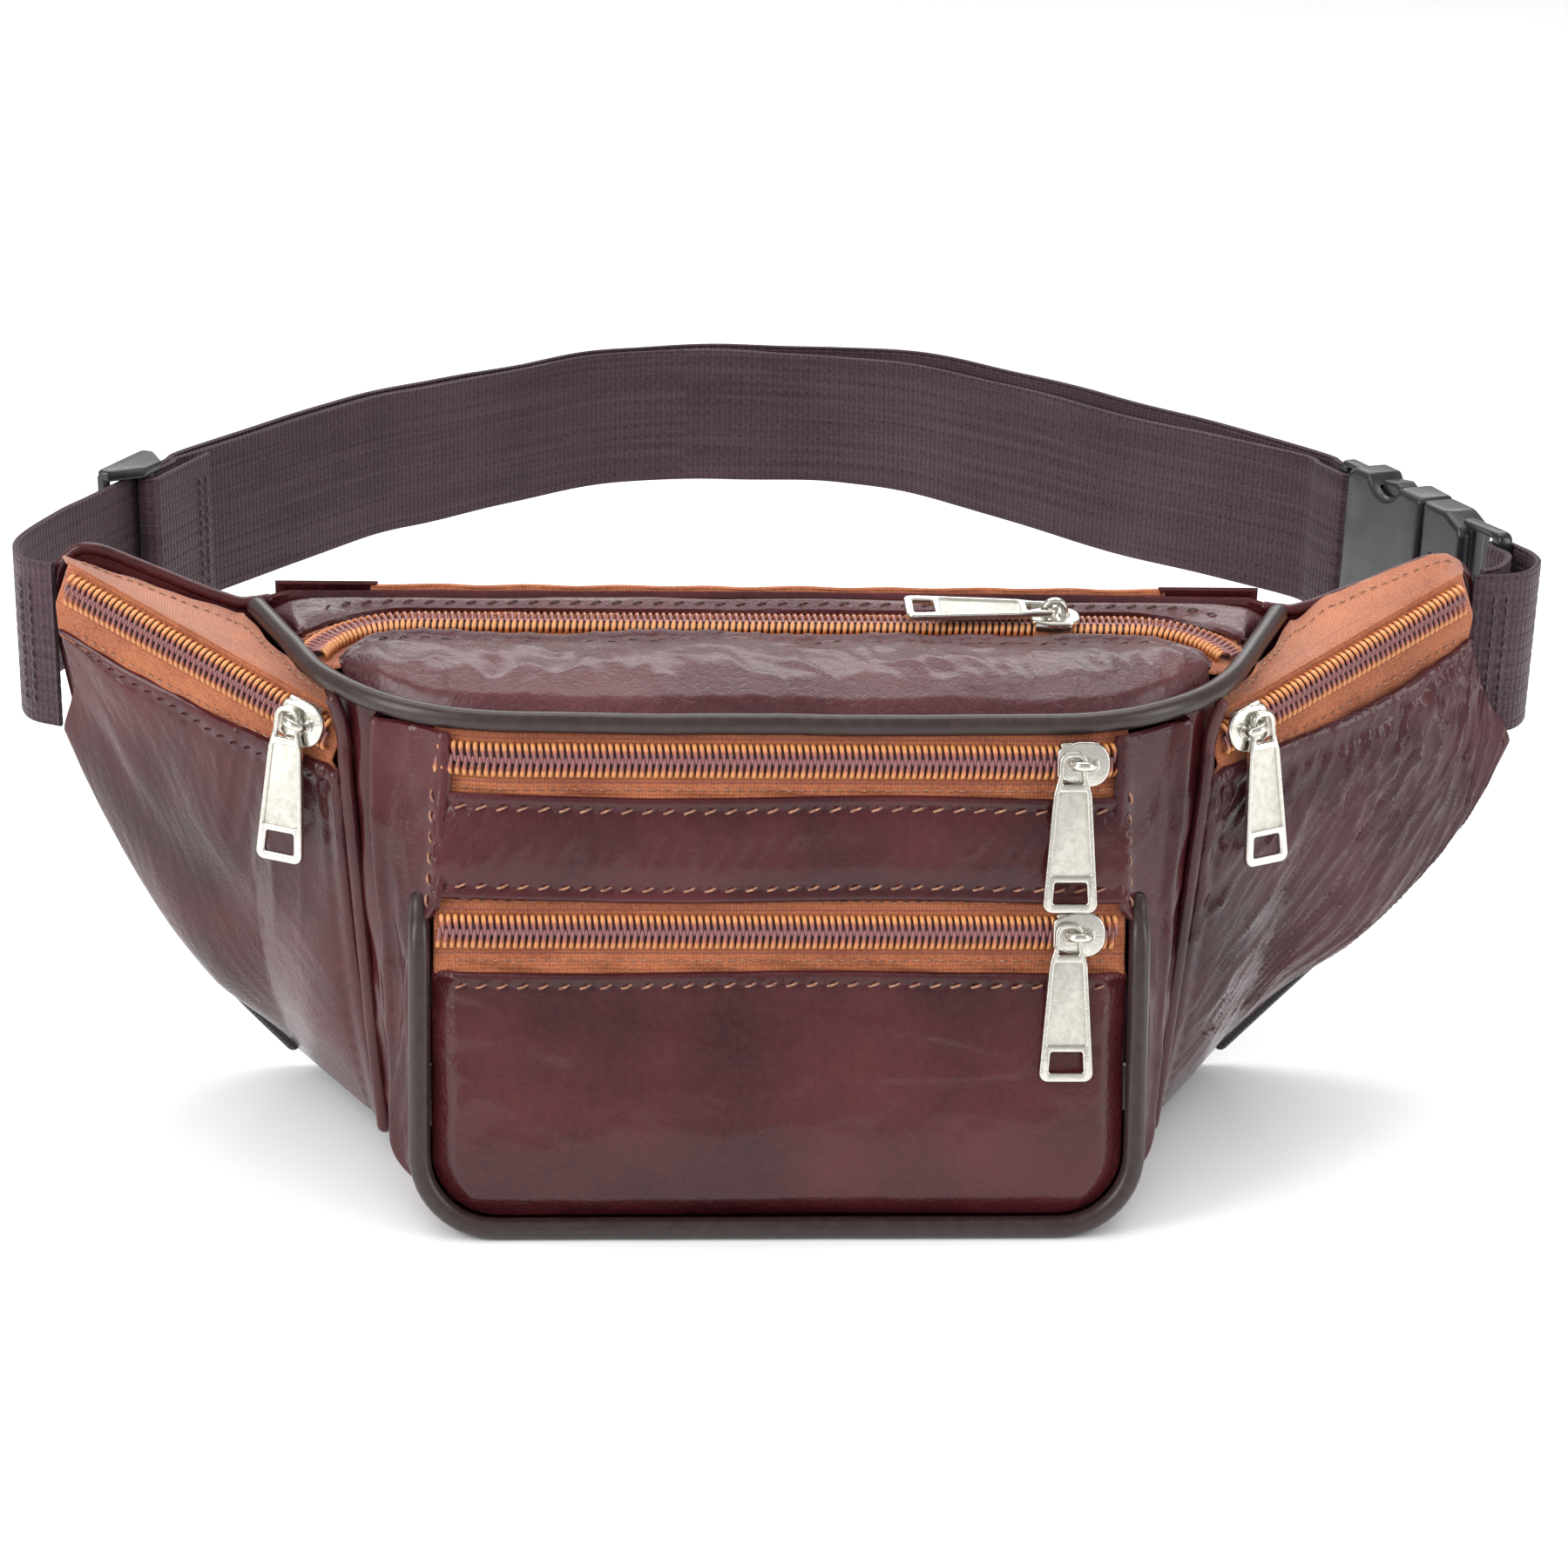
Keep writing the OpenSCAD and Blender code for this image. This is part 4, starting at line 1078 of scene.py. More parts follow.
def back_rims():
    """Folded leather edge along the crest of each wing, and the wings' tips."""
    for side, name in ((-1, "left"), (1, "right")):
        line = [(x, crest_z(x)) for x in np.linspace(112, 154, 24)]
        line += [(156.6, 122.5), (158.0, 118.5), (158.2, 112), (158.0, 100), (157.8, 90), (157.2, 82)]
        line = [settled(side, np.array([x, BACK_Y + 0.5 + 0.5 * rough(x * 0.1, z * 0.1, side), z - 0.3]))
                for x, z in line]
        path = spline([mirror(side, p) for p in line], 3)
        shape = tube(Shape(), resampled(path, 1.2), 1.4, sides=16, up=(0, 1, 0), flat=0.9)
        piece("wing_rim_" + name, shape, LEATHER, "bag")


def back_pocket():
    def surface(u, w):
        x = BACK_POCKET_HALF * (2 * u - 1)
        past = max(0, abs(x) - BACK_POCKET_CUT) / (BACK_POCKET_HALF - BACK_POCKET_CUT)
        low = lerp(3, 50, past)
        z = lerp(low, BACK_POCKET_TOP, w)
        edge = min(BACK_POCKET_HALF - abs(x), z - low)
        n = LEATHER_T + 0.3 + 0.9 * smooth(edge / 20) - 0.4 * hump(edge - 3, 0.9) * pucker(x + z)
        down = BACK_POCKET_TOP - z
        n += 0.7 * hump(down - 1.2, 1.3) - 0.5 * hump(down - 4.2, 0.9) * pucker(x)
        folds = ridge(x * 0.035, z * 0.02 + x * 0.01, 65)
        n += 1.2 * rough(x * 0.02, z * 0.03, 64) + 0.8 * folds * smooth(edge / 15)
        return np.array([x, BACK_Y + n + 0.6, z])
    s = Sheet(surface, 220, 96, LEATHER_T, (0, 1, 0))
    rows = [s.along(0.958, 0.02, 0.98), s.along(0.03, 0.09, 0.91)]
    rows += [s.across(u, 0.05, 0.93) for u in (0.015, 0.985)]
    leather("back_pocket_leather", "back_pocket_panel", s, rows)


def back_tabs():
    """Leather tabs sewn over the ends of the back zip."""
    for side, name in ((-1, "left"), (1, "right")):
        low, high = box("back_tab_" + name)
        cx, cz = (low[0] + high[0]) / 2, (low[2] + high[2]) / 2
        a, b = (high[0] - low[0]) / 2, (high[2] - low[2]) / 2

        def surface(u, w):
            x, z = a * (2 * u - 1), b * (2 * w - 1)
            edge = min(a - abs(x), b - abs(z))
            y = low[1] + 1.2 + 1.0 * smooth(edge / 2.5) - 0.35 * hump(edge - 2.3, 0.7)
            return np.array([cx + x, y, cz + z])
        s = Sheet(surface, 40, 26, 1.2, (0, 1, 0))
        rows = [s.across(0.5 - side * 0.38, 0.08, 0.92)] + [s.along(v, 0.08, 0.92) for v in (0.82, 0.18)]
        leather("back_zip_tab_" + name, "back_tab_" + name, s, rows, pitch=3.4, size=2.3)


def edge_binding():
    """Woven binding folded over the wings' slanted lower edges."""
    shape = Shape()
    for side in (-1, 1):
        path = np.array([mirror(side, settled(side, wing_low(s) + [0.2, 1.4, -0.4]))
                         for s in np.linspace(0.36, 1, 60)])
        tube(shape, resampled(path, 1.5), 1.7, sides=14, up=(0, 1, 0), flat=1.1)
    piece("wing_edge_binding", shape, BINDING, "bag", ["back_binding"])


# ---------------------------------------------------------------- zips
def front_line(height):
    return lambda l, w: on_front(l, height + w, TAPE_OUT)


def top_line(l, w, tuck=False):
    """The top zip's line; tucked, it stays inside the top's outline, under the piping."""
    a = max(0.0, abs(l) - TOP_ZIP_X) / TOP_ZIP_R
    r = TOP_ZIP_R + w
    x = min(abs(l), TOP_ZIP_X) + r * sin(a)
    dx, dy = x - ARC_X, ARC_R - (TOP_ZIP_Y - TOP_ZIP_R + r * cos(a))
    b = min(max(atan2(dx, dy), 0.0), ARC_A)
    over = max(0.0, dx * sin(b) + dy * cos(b) - ARC_R) if tuck else 0.0
    return on_top(copysign(x - over * sin(b), l), ARC_R - dy + over * cos(b),
                  TAPE_OUT - 0.3 * over)


def back_line(l, w):
    return np.array([l, BACK_TAPE_Y, BACK_ZIP_Z + w])


def mirrored(line):
    return lambda l, w: mirror(-1, line(l, w))


def coil(name, line, length, out, node):
    """Two rows of nylon teeth that hook into each other over a dark core."""
    shape = Shape()
    core = []
    # One tooth's filament, from the tape to its hook: across the zip, out of it and along it
    bend = [(3.1, 0.1, -0.24), (3.3, 0.9, -0.2), (3.0, 1.75, -0.12), (2.2, 2.25, 0.0), (1.1, 2.1, 0.14),
            (0.2, 1.8, 0.24), (-0.5, 1.55, 0.3)]
    for k in range(int(length / TOOTH_PITCH)):
        for row in (-1, 1):
            l = -length / 2 + (k + 0.5 + row * 0.25) * TOOTH_PITCH
            p, t = line(l, 0), unit(line(l + 0.2, 0) - line(l - 0.2, 0))
            w = unit(line(l, 0.5) - line(l, -0.5))
            n = np.cross(t, w)
            n = n if n @ np.asarray(out, float) > 0 else -n
            path = [p + w * row * a + n * b + t * c for a, b, c in bend]
            tube(shape, path, [0.42, 0.46, 0.50, 0.50, 0.44, 0.46, 0.46], sides=8, up=t, round_ends=False)
            if row == 1 and k % 2 == 0:
                core.append((p + n * 0.75, n))
    core = np.array([c for c, _ in core])
    fat = 2.7 - 1.9 * np.array([1 - smooth(min(k, len(core) - 1 - k) / 2) for k in range(len(core))])
    tube(shape, core, fat, sides=12, up=out, flat=0.3, look=1)
    piece(name, shape, [COIL, CORE], "bag", [node])


def flat_tape(name, line, half_len, low, high, out, node):
    mid = -low / (high - low)

    def surface(u, w):
        l, a = lerp(-half_len, half_len, u), lerp(low, high, w)
        p = line(l, a)
        n = unit(np.cross(line(l + 0.2, a) - line(l - 0.2, a), line(l, a + 0.2) - line(l, a - 0.2)))
        n = n if n @ np.asarray(out, float) > 0 else -n
        away = smooth((abs(a) - 3.6) / 4)
        return p + n * away * (0.35 * sin(l * 0.31 + a) + 0.5 * rough(l * 0.06, a * 0.2, half_len))
    s = Sheet(surface, max(90, int(half_len * 1.4)), 26, TAPE_T, out)
    shape = s.into(Shape(), middle=mid)
    for a in (-6.2, 6.2):
        if low < a < high:
            tape_stitches(shape, s.along((a - low) / (high - low), 0.01, 0.99), 0.18, 0.02)
    piece(name, shape, [TAPE, THREAD], "bag", [node])


BOW_R, BOW_Z = 2.2, 5.3         # of a slider's bow: its radius and its middle's height


def slider_place(name):
    """Matrix of a slider: x the way it opens, z out of the tape."""
    d = unit(axis(name + "_zip_slide"))
    if name == "top":
        n, back = np.array([0, -sin(SLOPE), cos(SLOPE)]), 0.0
        pivot = place("top_pull_flip")
    else:
        n, back, pivot = unit(axis(name + "_pull_swing")), BOW_R, place(name + "_pull_swing")
        n = n if n @ np.array([0, 1 if name == "back" else -1, 0]) > 0 else -n
    return frame_matrix(pivot - back * d - BOW_Z * n, d, np.cross(n, d), n)


def slider(name):
    shape = Shape()
    lift = Matrix.Translation((0, 0, 3.3))
    cap = rounded([(-5.7, -4.7), (-5.7, 4.7), (1.2, 4.75), (5.3, 3.1), (5.3, -3.1), (1.2, -4.75)],
                  [4.1, 4.1, 3, 1.2, 1.2, 3], 10)
    plate(shape, [cap], 1.25, 0.5, matrix=lift)
    for s in (-1, 1):
        rail = [(-3.6, s * 3.4), (4.6, s * 3.4), (4.6, s * 4.3), (-1, s * 4.75), (-3.6, s * 4.5)]
        rail = rounded(rail, 0.4, 3)
        plate(shape, [rail], 2.9, 0.35, matrix=Matrix.Translation((0, 0, 1.8)))
        boss = circle(s * BOW_R, 0, 1.35, 20)
        plate(shape, [boss], 1.0, 0.35, matrix=Matrix.Translation((0, 0, 4.0)))
    arch = [(-BOW_R * 1.12, 0, 3.8)] + [(-BOW_R * cos(a), 0, BOW_Z - 0.1 + BOW_R * 0.92 * sin(a))
                                        for a in np.linspace(0, pi, 13)] + [(BOW_R * 1.12, 0, 3.8)]
    tube(shape, arch, 0.82, sides=12, up=(0, 1, 0), flat=1.25)
    node = name + "_slider"
    piece("slider_" + name, shape.moved(slider_place(name)), NICKEL, node, [node])


def pull(name):
    """Tapered pull: raised rim, sunk sanded panel, slot at its lower end and an eye on the bow."""
    m = slider_place(name)
    angle = 0.0 if name == "top" else atan2(-m[2, 1], -m[2, 0])
    turn = np.array(Matrix.Translation((BOW_R, 0, BOW_Z)) @ Matrix.Rotation(angle, 4, "Z"))
    shape = Shape()
    outer = rounded([(-2.9, -2.9), (-2.9, 2.9), (2.2, 3.0), (6.0, 4.0),
                     (31, 5.8), (31, -5.8), (6.0, -4.0), (2.2, -3.0)], [2.4, 2.4, 4, 6, 1.9, 1.9, 6, 4], 8)
    eye = rounded(wedge(-1.6, 1.7, 4.0, 2.2), [1.2, 1.2, 0.5, 0.5], 6)
    slot = rounded(wedge(24.6, 3.35, 29.1, 3.65), 0.5, 4)
    near, far = [4.0 + (x - 6) * 1.8 / 25 - 1.1 for x in (5.6, 23.2)]
    panel = rounded(wedge(5.6, near, 23.2, far), 0.4, 4)
    plate(shape, [outer, eye, panel, slot], 1.5, 0.42)
    ground = rounded(wedge(5.1, near + 0.4, 23.7, far + 0.4), 0.3, 3)
    plate(shape, [ground], 0.55, 0.05, look=1, steps=2)
    node = name + "_pull"
    piece("pull_" + name, shape.moved(m @ turn), [NICKEL, SAND], node, [node])


def zips():
    face = (0, -1, 0)
    for name, height, top in (("front_upper", UPPER_ZIP, 6.8), ("front_lower", LOWER_ZIP, 10)):
        flat_tape(f"zip_{name}_tape", front_line(height), 72.2, -10, top, face, f"{name}_tape")
        coil(f"zip_{name}_coil", front_line(height), 143.5, face, f"{name}_coil")
    up = (0, 0, 1)
    flat_tape("zip_top_tape", lambda l, w: top_line(l, w, True), TOP_ZIP_LEN / 2 + 3, -10, 9, up, "top_tape")
    coil("zip_top_coil", top_line, TOP_ZIP_LEN, up, "top_coil")
    flat_tape("zip_back_tape", back_line, 89, -7, 5.6, (0, 1, 0), "back_tape")
    coil("zip_back_coil", back_line, 176, (0, 1, 0), "back_coil")
    wing_tape(1, "zip_wing_right_tape")
    wing_tape(-1, "zip_wing_left_tape")
    coil("zip_wing_right_coil", wing_line, WING_LEN, (0.4, -0.9, 0.1), "wing_right_coil")
    coil("zip_wing_left_coil", mirrored(wing_line), WING_LEN, (-0.4, -0.9, 0.1), "wing_left_coil")
    for name in ("front_upper", "front_lower", "top", "back", "wing_left", "wing_right"):
        slider(name)
        pull(name)


# ---------------------------------------------------------------- belt
WEB_Z = box("belt_outer")[0][2]
WEB_W = box("belt_outer")[1][2] - WEB_Z
STRAP_MID = WEB_Z + WEB_W / 2
WEB_HALF = 0.7
BELT_MIDDLE = np.array([0, 110])                    # the belt leans out from here
# The belt's route, seen from above: the same points as in the frame
BELT_START = [(-158.3, 31.5), (-166, 37), (-169, 52)]
STRAP_A, STRAP_B = np.array([-163.5, 74]), np.array([-140, 133.5])
OUTER = [(-106, 184), (-74, 219), (-42, 245), (-10, 252), (24, 250), (54, 242), (82, 222), (102, 198),
         (124, 170)]
INNER = [(-104, 179), (-72, 214), (-42, 239), (-14, 246), (16, 243), (38, 236), (56, 225), (76, 206),
         (98, 182), (120, 158)]
SHORT_FRONT = [(176, 43), (171.5, 35), (165, 32), (158.3, 31.5)]
SHORT_REAR = [(169, 44), (165.5, 38.5), (161, 35.5)]
SPLIT_X = -14                   # the returning layer is cut here, behind the wearer's back
STRAP_DIR = -unit(axis("belt_adjust_slide"))[:2]
STRAP_OUT = np.array([-STRAP_DIR[1], STRAP_DIR[0]])
GLIDE_AT = STRAP_A + 0.55 * (STRAP_B - STRAP_A)
FOLD_BAR, FOLD_R, FOLD_LEN = -4.2, 2.1, 22
TAIL_LEN = 26                   # of the layer that is folded back and sewn down
BUCKLE_DIR = -unit(axis("buckle_release"))[:2]
BUCKLE_OUT = np.array([-BUCKLE_DIR[1], BUCKLE_DIR[0]])
PRONG_X = 38                    # of the prongs' roots, from the female part's bar
BUCKLE_AT = ((place("prong_upper_press") + place("prong_lower_press")) / 2)[:2] - PRONG_X * BUCKLE_DIR
LOOP_R, LOOP_LEN, MALE_BAR = 2.9, 18.3, 68


def strap_point(x, y):
    return GLIDE_AT + x * STRAP_DIR + y * STRAP_OUT


def buckle_point(x, y):
    return BUCKLE_AT + x * BUCKLE_DIR + y * BUCKLE_OUT


def strap_frame():
    """x along the strap, y out of it, z up."""
    return frame_matrix([*GLIDE_AT, STRAP_MID], [*STRAP_DIR, 0], [*STRAP_OUT, 0], [0, 0, 1])


def buckle_frame():
    """x from the female part's bar to the male part's bar, y up, z through the buckle."""
    return frame_matrix([*BUCKLE_AT, STRAP_MID], [*BUCKLE_DIR, 0], [0, 0, 1], [*(-BUCKLE_OUT), 0])


def half_turn(point, radius, side):
    """Round a bar: from y = +radius to y = -radius, bulging to x = side * radius."""
    angles = np.radians(np.linspace(75, -75, 7))
    return [point(side * radius * cos(a), radius * sin(a)) for a in angles]


def webbing_ring():
    """Section of the webbing: height and offset, with a groove along each line of stitches."""
    heights = np.linspace(0.35, WEB_W - 0.35, 89)
    groove = np.array([0.16 * max(hump(z - 2.59 - 3.45 * k, 0.33) for k in range(11)) for z in heights])
    edge = [(WEB_W - 0.1, 0.4), (WEB_W, 0.0), (WEB_W - 0.1, -0.4)]
    front = [(z, WEB_HALF - g) for z, g in zip(heights, groove)]
    back = [(z, -WEB_HALF + g) for z, g in zip(heights[::-1], groove[::-1])]
    return front + edge + back + [(0.1, -0.4), (0, 0), (0.1, 0.4)]


def lifted(path):
    """A plan path with its height and its outward lean: the belt sways slightly where it hangs free."""
    free = [smooth((abs(x - 150) - 20) / 40) * smooth((abs(x + 150) - 20) / 40) for x, _ in path]
    return np.array([[x, y, WEB_Z + f * 2.6 * rough(x * 0.016, y * 0.01, 5),
                      f * 0.32 * rough(x * 0.013, 7, 5)] for (x, y), f in zip(path, free)])


def smoothed(path, rounds):
    """A path with its small kinks eased out, its ends kept."""
    for _ in range(rounds):
        path[1:-1] = 0.25 * path[:-2] + 0.5 * path[1:-1] + 0.25 * path[2:]
    return path


def seam(shape, path, at, margin, side):
    """A row of stitches across the webbing at distance `at` along its path, ending margin from its edges."""
    along = lengths(path[:, :2])
    p = np.array([np.interp(at, along, path[:, k]) for k in range(3)])
    q = np.array([np.interp(at + 1, along, path[:, k]) for k in range(3)])
    t = unit((q - p)[:2])
    n = side * np.array([-t[1], t[0], 0])
    z = np.linspace(margin, WEB_W - margin, 30)
    line = np.array([[p[0], p[1], p[2] + h] for h in z]) + n * (WEB_HALF + 0.05)
    stitches(shape, (line, np.tile(n, (30, 1))), look=1, pitch=2.6, size=2.1, r=0.26, slant=0.1)


def belt():
    straight = [lerp(STRAP_A, STRAP_B, t) for t in (0, 0.2, 0.4, 0.6, 0.8, 1)]
    loop_in = [buckle_point(-LOOP_LEN, LOOP_R), buckle_point(-9, LOOP_R), buckle_point(-1, LOOP_R)]
    loop_out = [buckle_point(-1, -LOOP_R), buckle_point(-9, -LOOP_R), buckle_point(-LOOP_LEN, -LOOP_R)]
    outer = resampled(spline(BELT_START + straight + OUTER + loop_in, 8), 1.6)
    turn = resampled(np.array(loop_in[-1:] + half_turn(buckle_point, LOOP_R, 1) + loop_out[:1]), 0.6)
    over_fold = [strap_point(x, FOLD_BAR + FOLD_R) for x in (0.5, 8, 16, FOLD_LEN + 0.3)]
    inner = resampled(spline(over_fold + INNER + loop_out[::-1], 8), 1.6)
    cut = int(np.argmin(np.abs(inner[:, 0] - SPLIT_X)))
    outer3, inner3, turn3 = [lifted(path) for path in (outer, inner, turn)]
    ring = webbing_ring()

    # From the left wing, through the adjuster and round the female part's bar, back to the middle
    run = np.concatenate([outer3[:-1], turn3[:-1], inner3[::-1][:len(inner3) - cut]])
    shape = sweep(Shape(), run, ring)
    for at in (6, 9):
        seam(shape, run, at, 3, 1)
    piece("belt_webbing", shape, [WEBBING, DARK_THREAD], "bag",
          ["belt_outer", "belt_give", "belt_loop"],
          blend=("buckle_female_end", (24, 248, STRAP_MID), (131, 158, STRAP_MID)))

    # From the middle back to the adjuster, where it is folded round the bar and sewn to itself
    tail = [strap_point(x, FOLD_BAR - FOLD_R) for x in (TAIL_LEN, 18, 9, 0.5)]
    bend = half_turn(lambda x, y: strap_point(x, FOLD_BAR - y), FOLD_R, -1)
    fold = resampled(np.array(tail + bend + [inner[0]]), 0.7)
    run = np.concatenate([lifted(fold)[:-1], inner3[:cut + 1]])
    shape = sweep(Shape(), run, ring)
    for at in (3.2, 6.4):
        seam(shape, run, at, 2.5, 1)
        seam(shape, run, 2 * TAIL_LEN + 2.6 + pi * FOLD_R - at - 0.7, 2.5, 1)
    piece("belt_return", shape, [WEBBING, DARK_THREAD], "belt_adjuster",
          ["belt_inner", "belt_fold"],
          blend=("bag", (*strap_point(30, 0), STRAP_MID), (-20, 246, STRAP_MID)))

    def male(x, y):
        return buckle_point(MALE_BAR + x, y)
    short = (SHORT_FRONT[::-1] + [male(x, LOOP_R) for x in (8, 3, 0.5)] + half_turn(male, LOOP_R, -1)
             + [male(x, -LOOP_R) for x in (0.5, 3, 7)] + SHORT_REAR)
    path = smoothed(resampled(spline(short, 6), 0.8), 3)
    run = np.column_stack([path, np.full(len(path), WEB_Z), np.zeros(len(path))])
    shape = sweep(Shape(), run, ring)
    for at in (5, 8):
        seam(shape, run, at, 3, -1)
    piece("belt_short_webbing", shape, [WEBBING, DARK_THREAD], "bag", ["belt_short"])


def adjuster():
    shape = Shape()
    m = strap_frame()
    rail = rounded([(-11, 0.4), (-11, 3.9), (11, 3.9), (11, 0.4), (4, -5.6), (-4, -5.6)],
                   [1.6, 1.6, 1.6, 1.6, 2.2, 2.2], 6)
    for s in (-1, 1):
        lift = Matrix.Translation((0, 0, s * (WEB_W / 2 + 1.9)))
        plate(shape, [rail], 2.7, 0.9, matrix=m @ np.array(lift))
        bar = rounded([(s * 8.2, 1.35), (s * 11, 1.35), (s * 11, 3.9), (s * 8.2, 3.9)], 0.9, 5)
        plate(shape, [bar], WEB_W + 3.4, 0.1, matrix=m)
    plate(shape, [circle(0, FOLD_BAR, 1.3, 20)], WEB_W + 3, 0.1, matrix=m)
    piece("belt_adjuster_frame", shape, PLASTIC, "belt_adjuster", ["triglide"])


# ---------------------------------------------------------------- buckle
def carved(outer, cutter):
    """One shape with another cut out of it."""
    objects = [new_object(f"carve_{k}", outward_mesh("carve", np.concatenate(s.points), s.faces))
               for k, s in enumerate((outer, cutter))]
    cut = objects[0].modifiers.new("cut", "BOOLEAN")
    cut.operation, cut.solver, cut.object = "DIFFERENCE", "EXACT", objects[1]
    bpy.context.view_layer.update()
    done = objects[0].evaluated_get(bpy.context.evaluated_depsgraph_get()).to_mesh()
    points = [tuple(v.co) for v in done.vertices]
    faces = [list(f.vertices) for f in done.polygons]
    objects[0].to_mesh_clear()
    for o in objects:
        bpy.data.objects.remove(o)
    return Shape().add(points, faces)


BUCKLE_HALF = 23


def buckle_piece(name, shape, body, node):
    piece(name, shape.moved(buckle_frame()), PLASTIC, body, [node])


def buckle_female():
    notch = [circle(23.5, 27.0, 8, 14, radians(210), radians(120)),
             circle(23.5, -27.0, 8, 14, radians(150), radians(-120))]
    corners = ([(6.4, -21.3), (6.4, 21.3), (10, BUCKLE_HALF), (16.4, BUCKLE_HALF)]
               + [tuple(p) for p in notch[0][1:]]
               + [(30.6, BUCKLE_HALF), (40, BUCKLE_HALF - 0.4), (40, 0.4 - BUCKLE_HALF), (30.6, -BUCKLE_HALF)]
               + [tuple(p) for p in notch[1][1:][::-1]] + [(16.4, -BUCKLE_HALF), (10, -BUCKLE_HALF)])
    radius = [2.6, 2.6, 3, 1.2] + [0] * 13 + [1.2, 1.4, 1.4, 1.2] + [0] * 13 + [1.2, 3]
    body = plate(Shape(), [rounded(corners, radius, 5)], 10, 1.7, steps=6)
    hollow = plate(Shape(), [rounded(wedge(8.3, 20.5, 44, 20.5), 1.5, 4)], 6.4, 0.6)
    body = carved(body, hollow)
    loop = rounded(wedge(-1.9, 22, 9, 22), [2.4, 2.4, 0.5, 0.5], 6)
    gap = rounded(wedge(1.9, 20.1, 6.3, 20.1), 0.6, 4)
    plate(body, [loop, gap], 3.9, 1.1)
    buckle_piece("buckle_female_part", body, "buckle_female_end", "buckle_female")


def buckle_male():
    shape = Shape()
    half = BUCKLE_HALF - 0.6
    body = rounded([(40.6, -half), (40.6, half), (50, half), (57.5, half - 3), (57.5, 3 - half), (50, -half)],
                   [0.8, 0.8, 5, 3, 3, 5], 6)
    plate(shape, [body], 9.2, 1.5, steps=6)
    loop = rounded(wedge(54, half - 1, 70.1, half - 0.6), [0.5, 0.5, 2.4, 2.4], 6)
    gap = rounded(wedge(58.6, 20.1, 66, 20.1), 0.8, 4)
    plate(shape, [loop, gap], 3.9, 1.1)
    guide = rounded([(12, -4), (12, 4), (16, 5), (42, 5), (42, -5), (16, -5)], [1.5, 1.5, 2, 0, 0, 2], 4)
    plate(shape, [guide], 5, 0.7)
    for z in (-4.75, 4.75):
        for k in range(4):
            rib = rounded(wedge(44.6 + 2.6 * k, 11, 46 + 2.6 * k, 11), 0.65, 4)
            plate(shape, [rib], 0.5, 0.22, matrix=Matrix.Translation((0, 0, z)))
    buckle_piece("buckle_male_part", shape, "bag", "buckle_male")


def prongs():
    for side, name in ((1, "upper"), (-1, "lower")):
        line = [(PRONG_X + 2.2 * cos(a), side * (12 + 2.2 * sin(a)))
                for a in np.radians(np.arange(-75, 76, 15))]
        line += [(x, side * y) for x, y in ((31, 16), (27.5, 22), (25.5, 22.8), (19.8, 22), (19.3, 19.6),
                                            (12.5, 13), (13, 11), (20, 12), (30, 11.5))]
        radius = [0] * 11 + [1.5, 1.0, 1.0, 0.8, 0.6, 0.9, 0.7, 2, 2]
        shape = plate(Shape(), [rounded(line, radius, 5)], 5.4, 0.8)
        buckle_piece("buckle_prong_" + name, shape, "prong_" + name, "prong_" + name)


# ---------------------------------------------------------------- floor, light, camera
def floor():
    mesh = bpy.data.meshes.new("floor")
    size, n = 12.0, 24
    at = np.linspace(-size, size, n)
    mesh.from_pydata([(x, y, 0.0) for x in at for y in at], [], grid_faces(n, n))
    mesh.materials.append(floor_look())
    new_object("floor", mesh)


def light(name, at, size, power):
    """A softbox that looks at the bag."""
    data = bpy.data.lights.new(name, "AREA")
    data.shape, data.size, data.size_y, data.energy = "RECTANGLE", size[0], size[1], power
    obj = new_object(name, data)
    obj.location = at
    obj.rotation_euler = (Vector((0, 0.03, 0.08)) - Vector(at)).to_track_quat("-Z", "Y").to_euler()


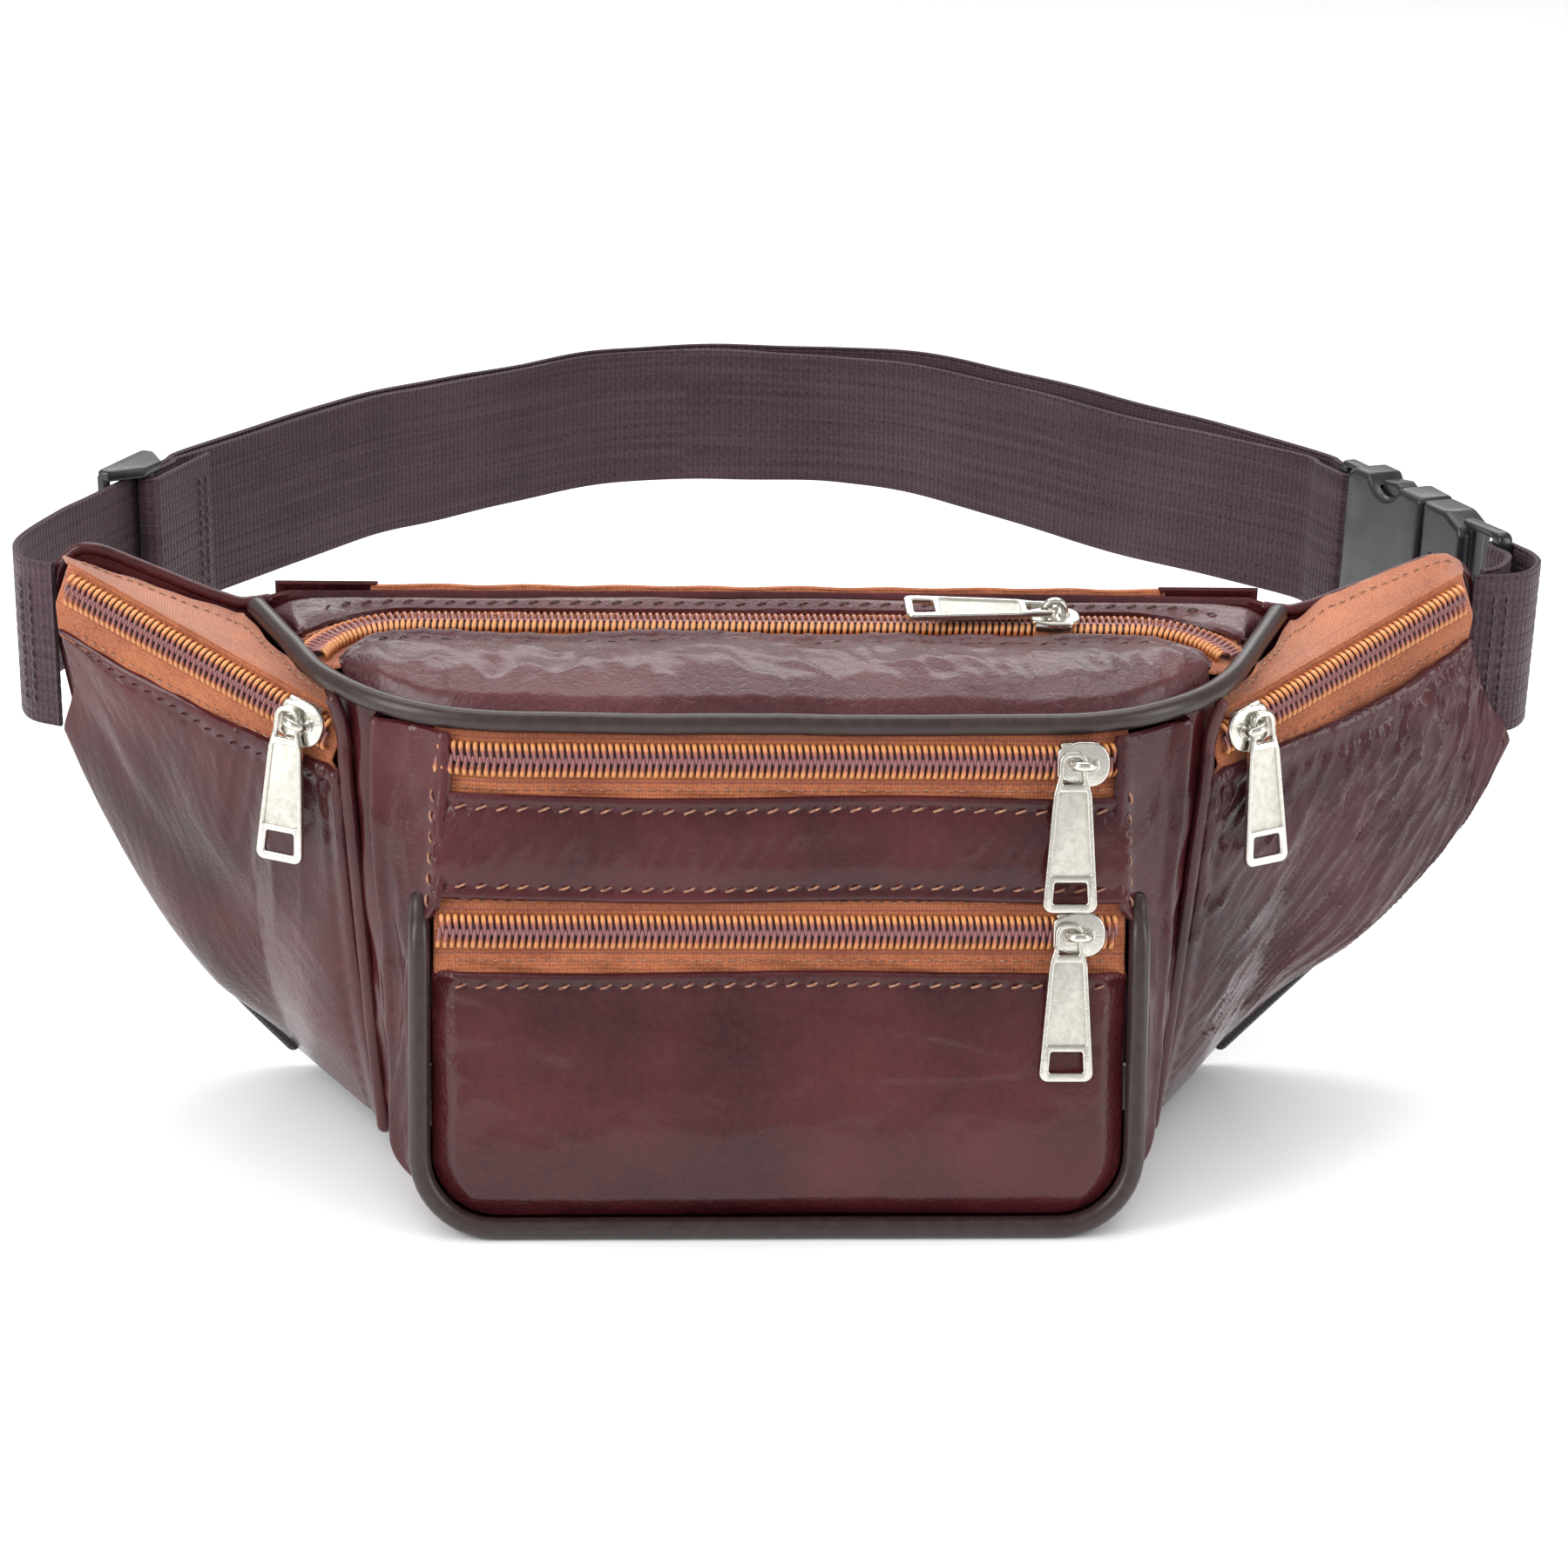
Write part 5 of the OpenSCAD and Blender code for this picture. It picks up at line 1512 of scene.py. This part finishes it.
def studio():
    world = bpy.data.worlds.new("studio")
    world.use_nodes = True
    world.node_tree.nodes["Background"].inputs[0].default_value = (1, 1, 1, 1)
    world.node_tree.nodes["Background"].inputs[1].default_value = 0.5
    bpy.context.scene.world = world
    light("overhead softbox", (0.0, 0.35, 1.1), (1.2, 0.5), 5)
    light("back softbox", (0.1, 1.5, 1.05), (1.5, 0.5), 7.5)
    light("front left softbox", (-1.0, -0.6, 0.65), (0.4, 0.9), 8)
    light("front right softbox", (1.05, -0.5, 0.5), (0.35, 0.8), 4)
    light("front fill", (0.1, -1.6, 0.5), (1.6, 0.9), 1)
    sky = bpy.data.lights.new("broad soft light", "SUN")
    sky.energy, sky.angle = 2.3, radians(100)
    obj = new_object("broad soft light", sky)
    obj.rotation_euler = (radians(18), radians(-10), 0)
    obj.visible_glossy = False


def camera():
    """The photograph's viewing angle: in front, above and a little to the left."""
    at, turn, tilt, roll = (-38.5, -672.7, 333.5), radians(3.44), radians(20.34), radians(1.44)
    ahead = Vector((sin(turn) * cos(tilt), cos(turn) * cos(tilt), -sin(tilt)))
    right = Vector((cos(turn), -sin(turn), 0))
    up = right.cross(ahead)
    x, y = right * cos(roll) + up * sin(roll), up * cos(roll) - right * sin(roll)
    data = bpy.data.cameras.new("camera")
    data.lens, data.sensor_width = 75.84, 36
    obj = new_object("camera", data)
    obj.matrix_world = Matrix.Translation([c * MM for c in at]) @ Matrix((x, y, -ahead)).transposed().to_4x4()
    bpy.context.scene.camera = obj


camera()
studio()
floor()
bpy.context.scene.view_settings.view_transform = "Standard"

front_strip()
front_pocket()
front_lining()
piping()
top_panel()
top_rear()
gusset(-1, "gusset_left_leather", 3)
gusset(1, "gusset_right_leather", 8)
wing_seam(-1, "seam_wing_left")
wing_seam(1, "seam_wing_right")
base()
wing_leather(-1, "wing_left_leather", 0.12)
wing_leather(1, "wing_right_leather", 1.0)
back_leather()
back_rims()
back_pocket()
back_tabs()
edge_binding()
zips()
belt()
adjuster()
buckle_female()
buckle_male()
prongs()
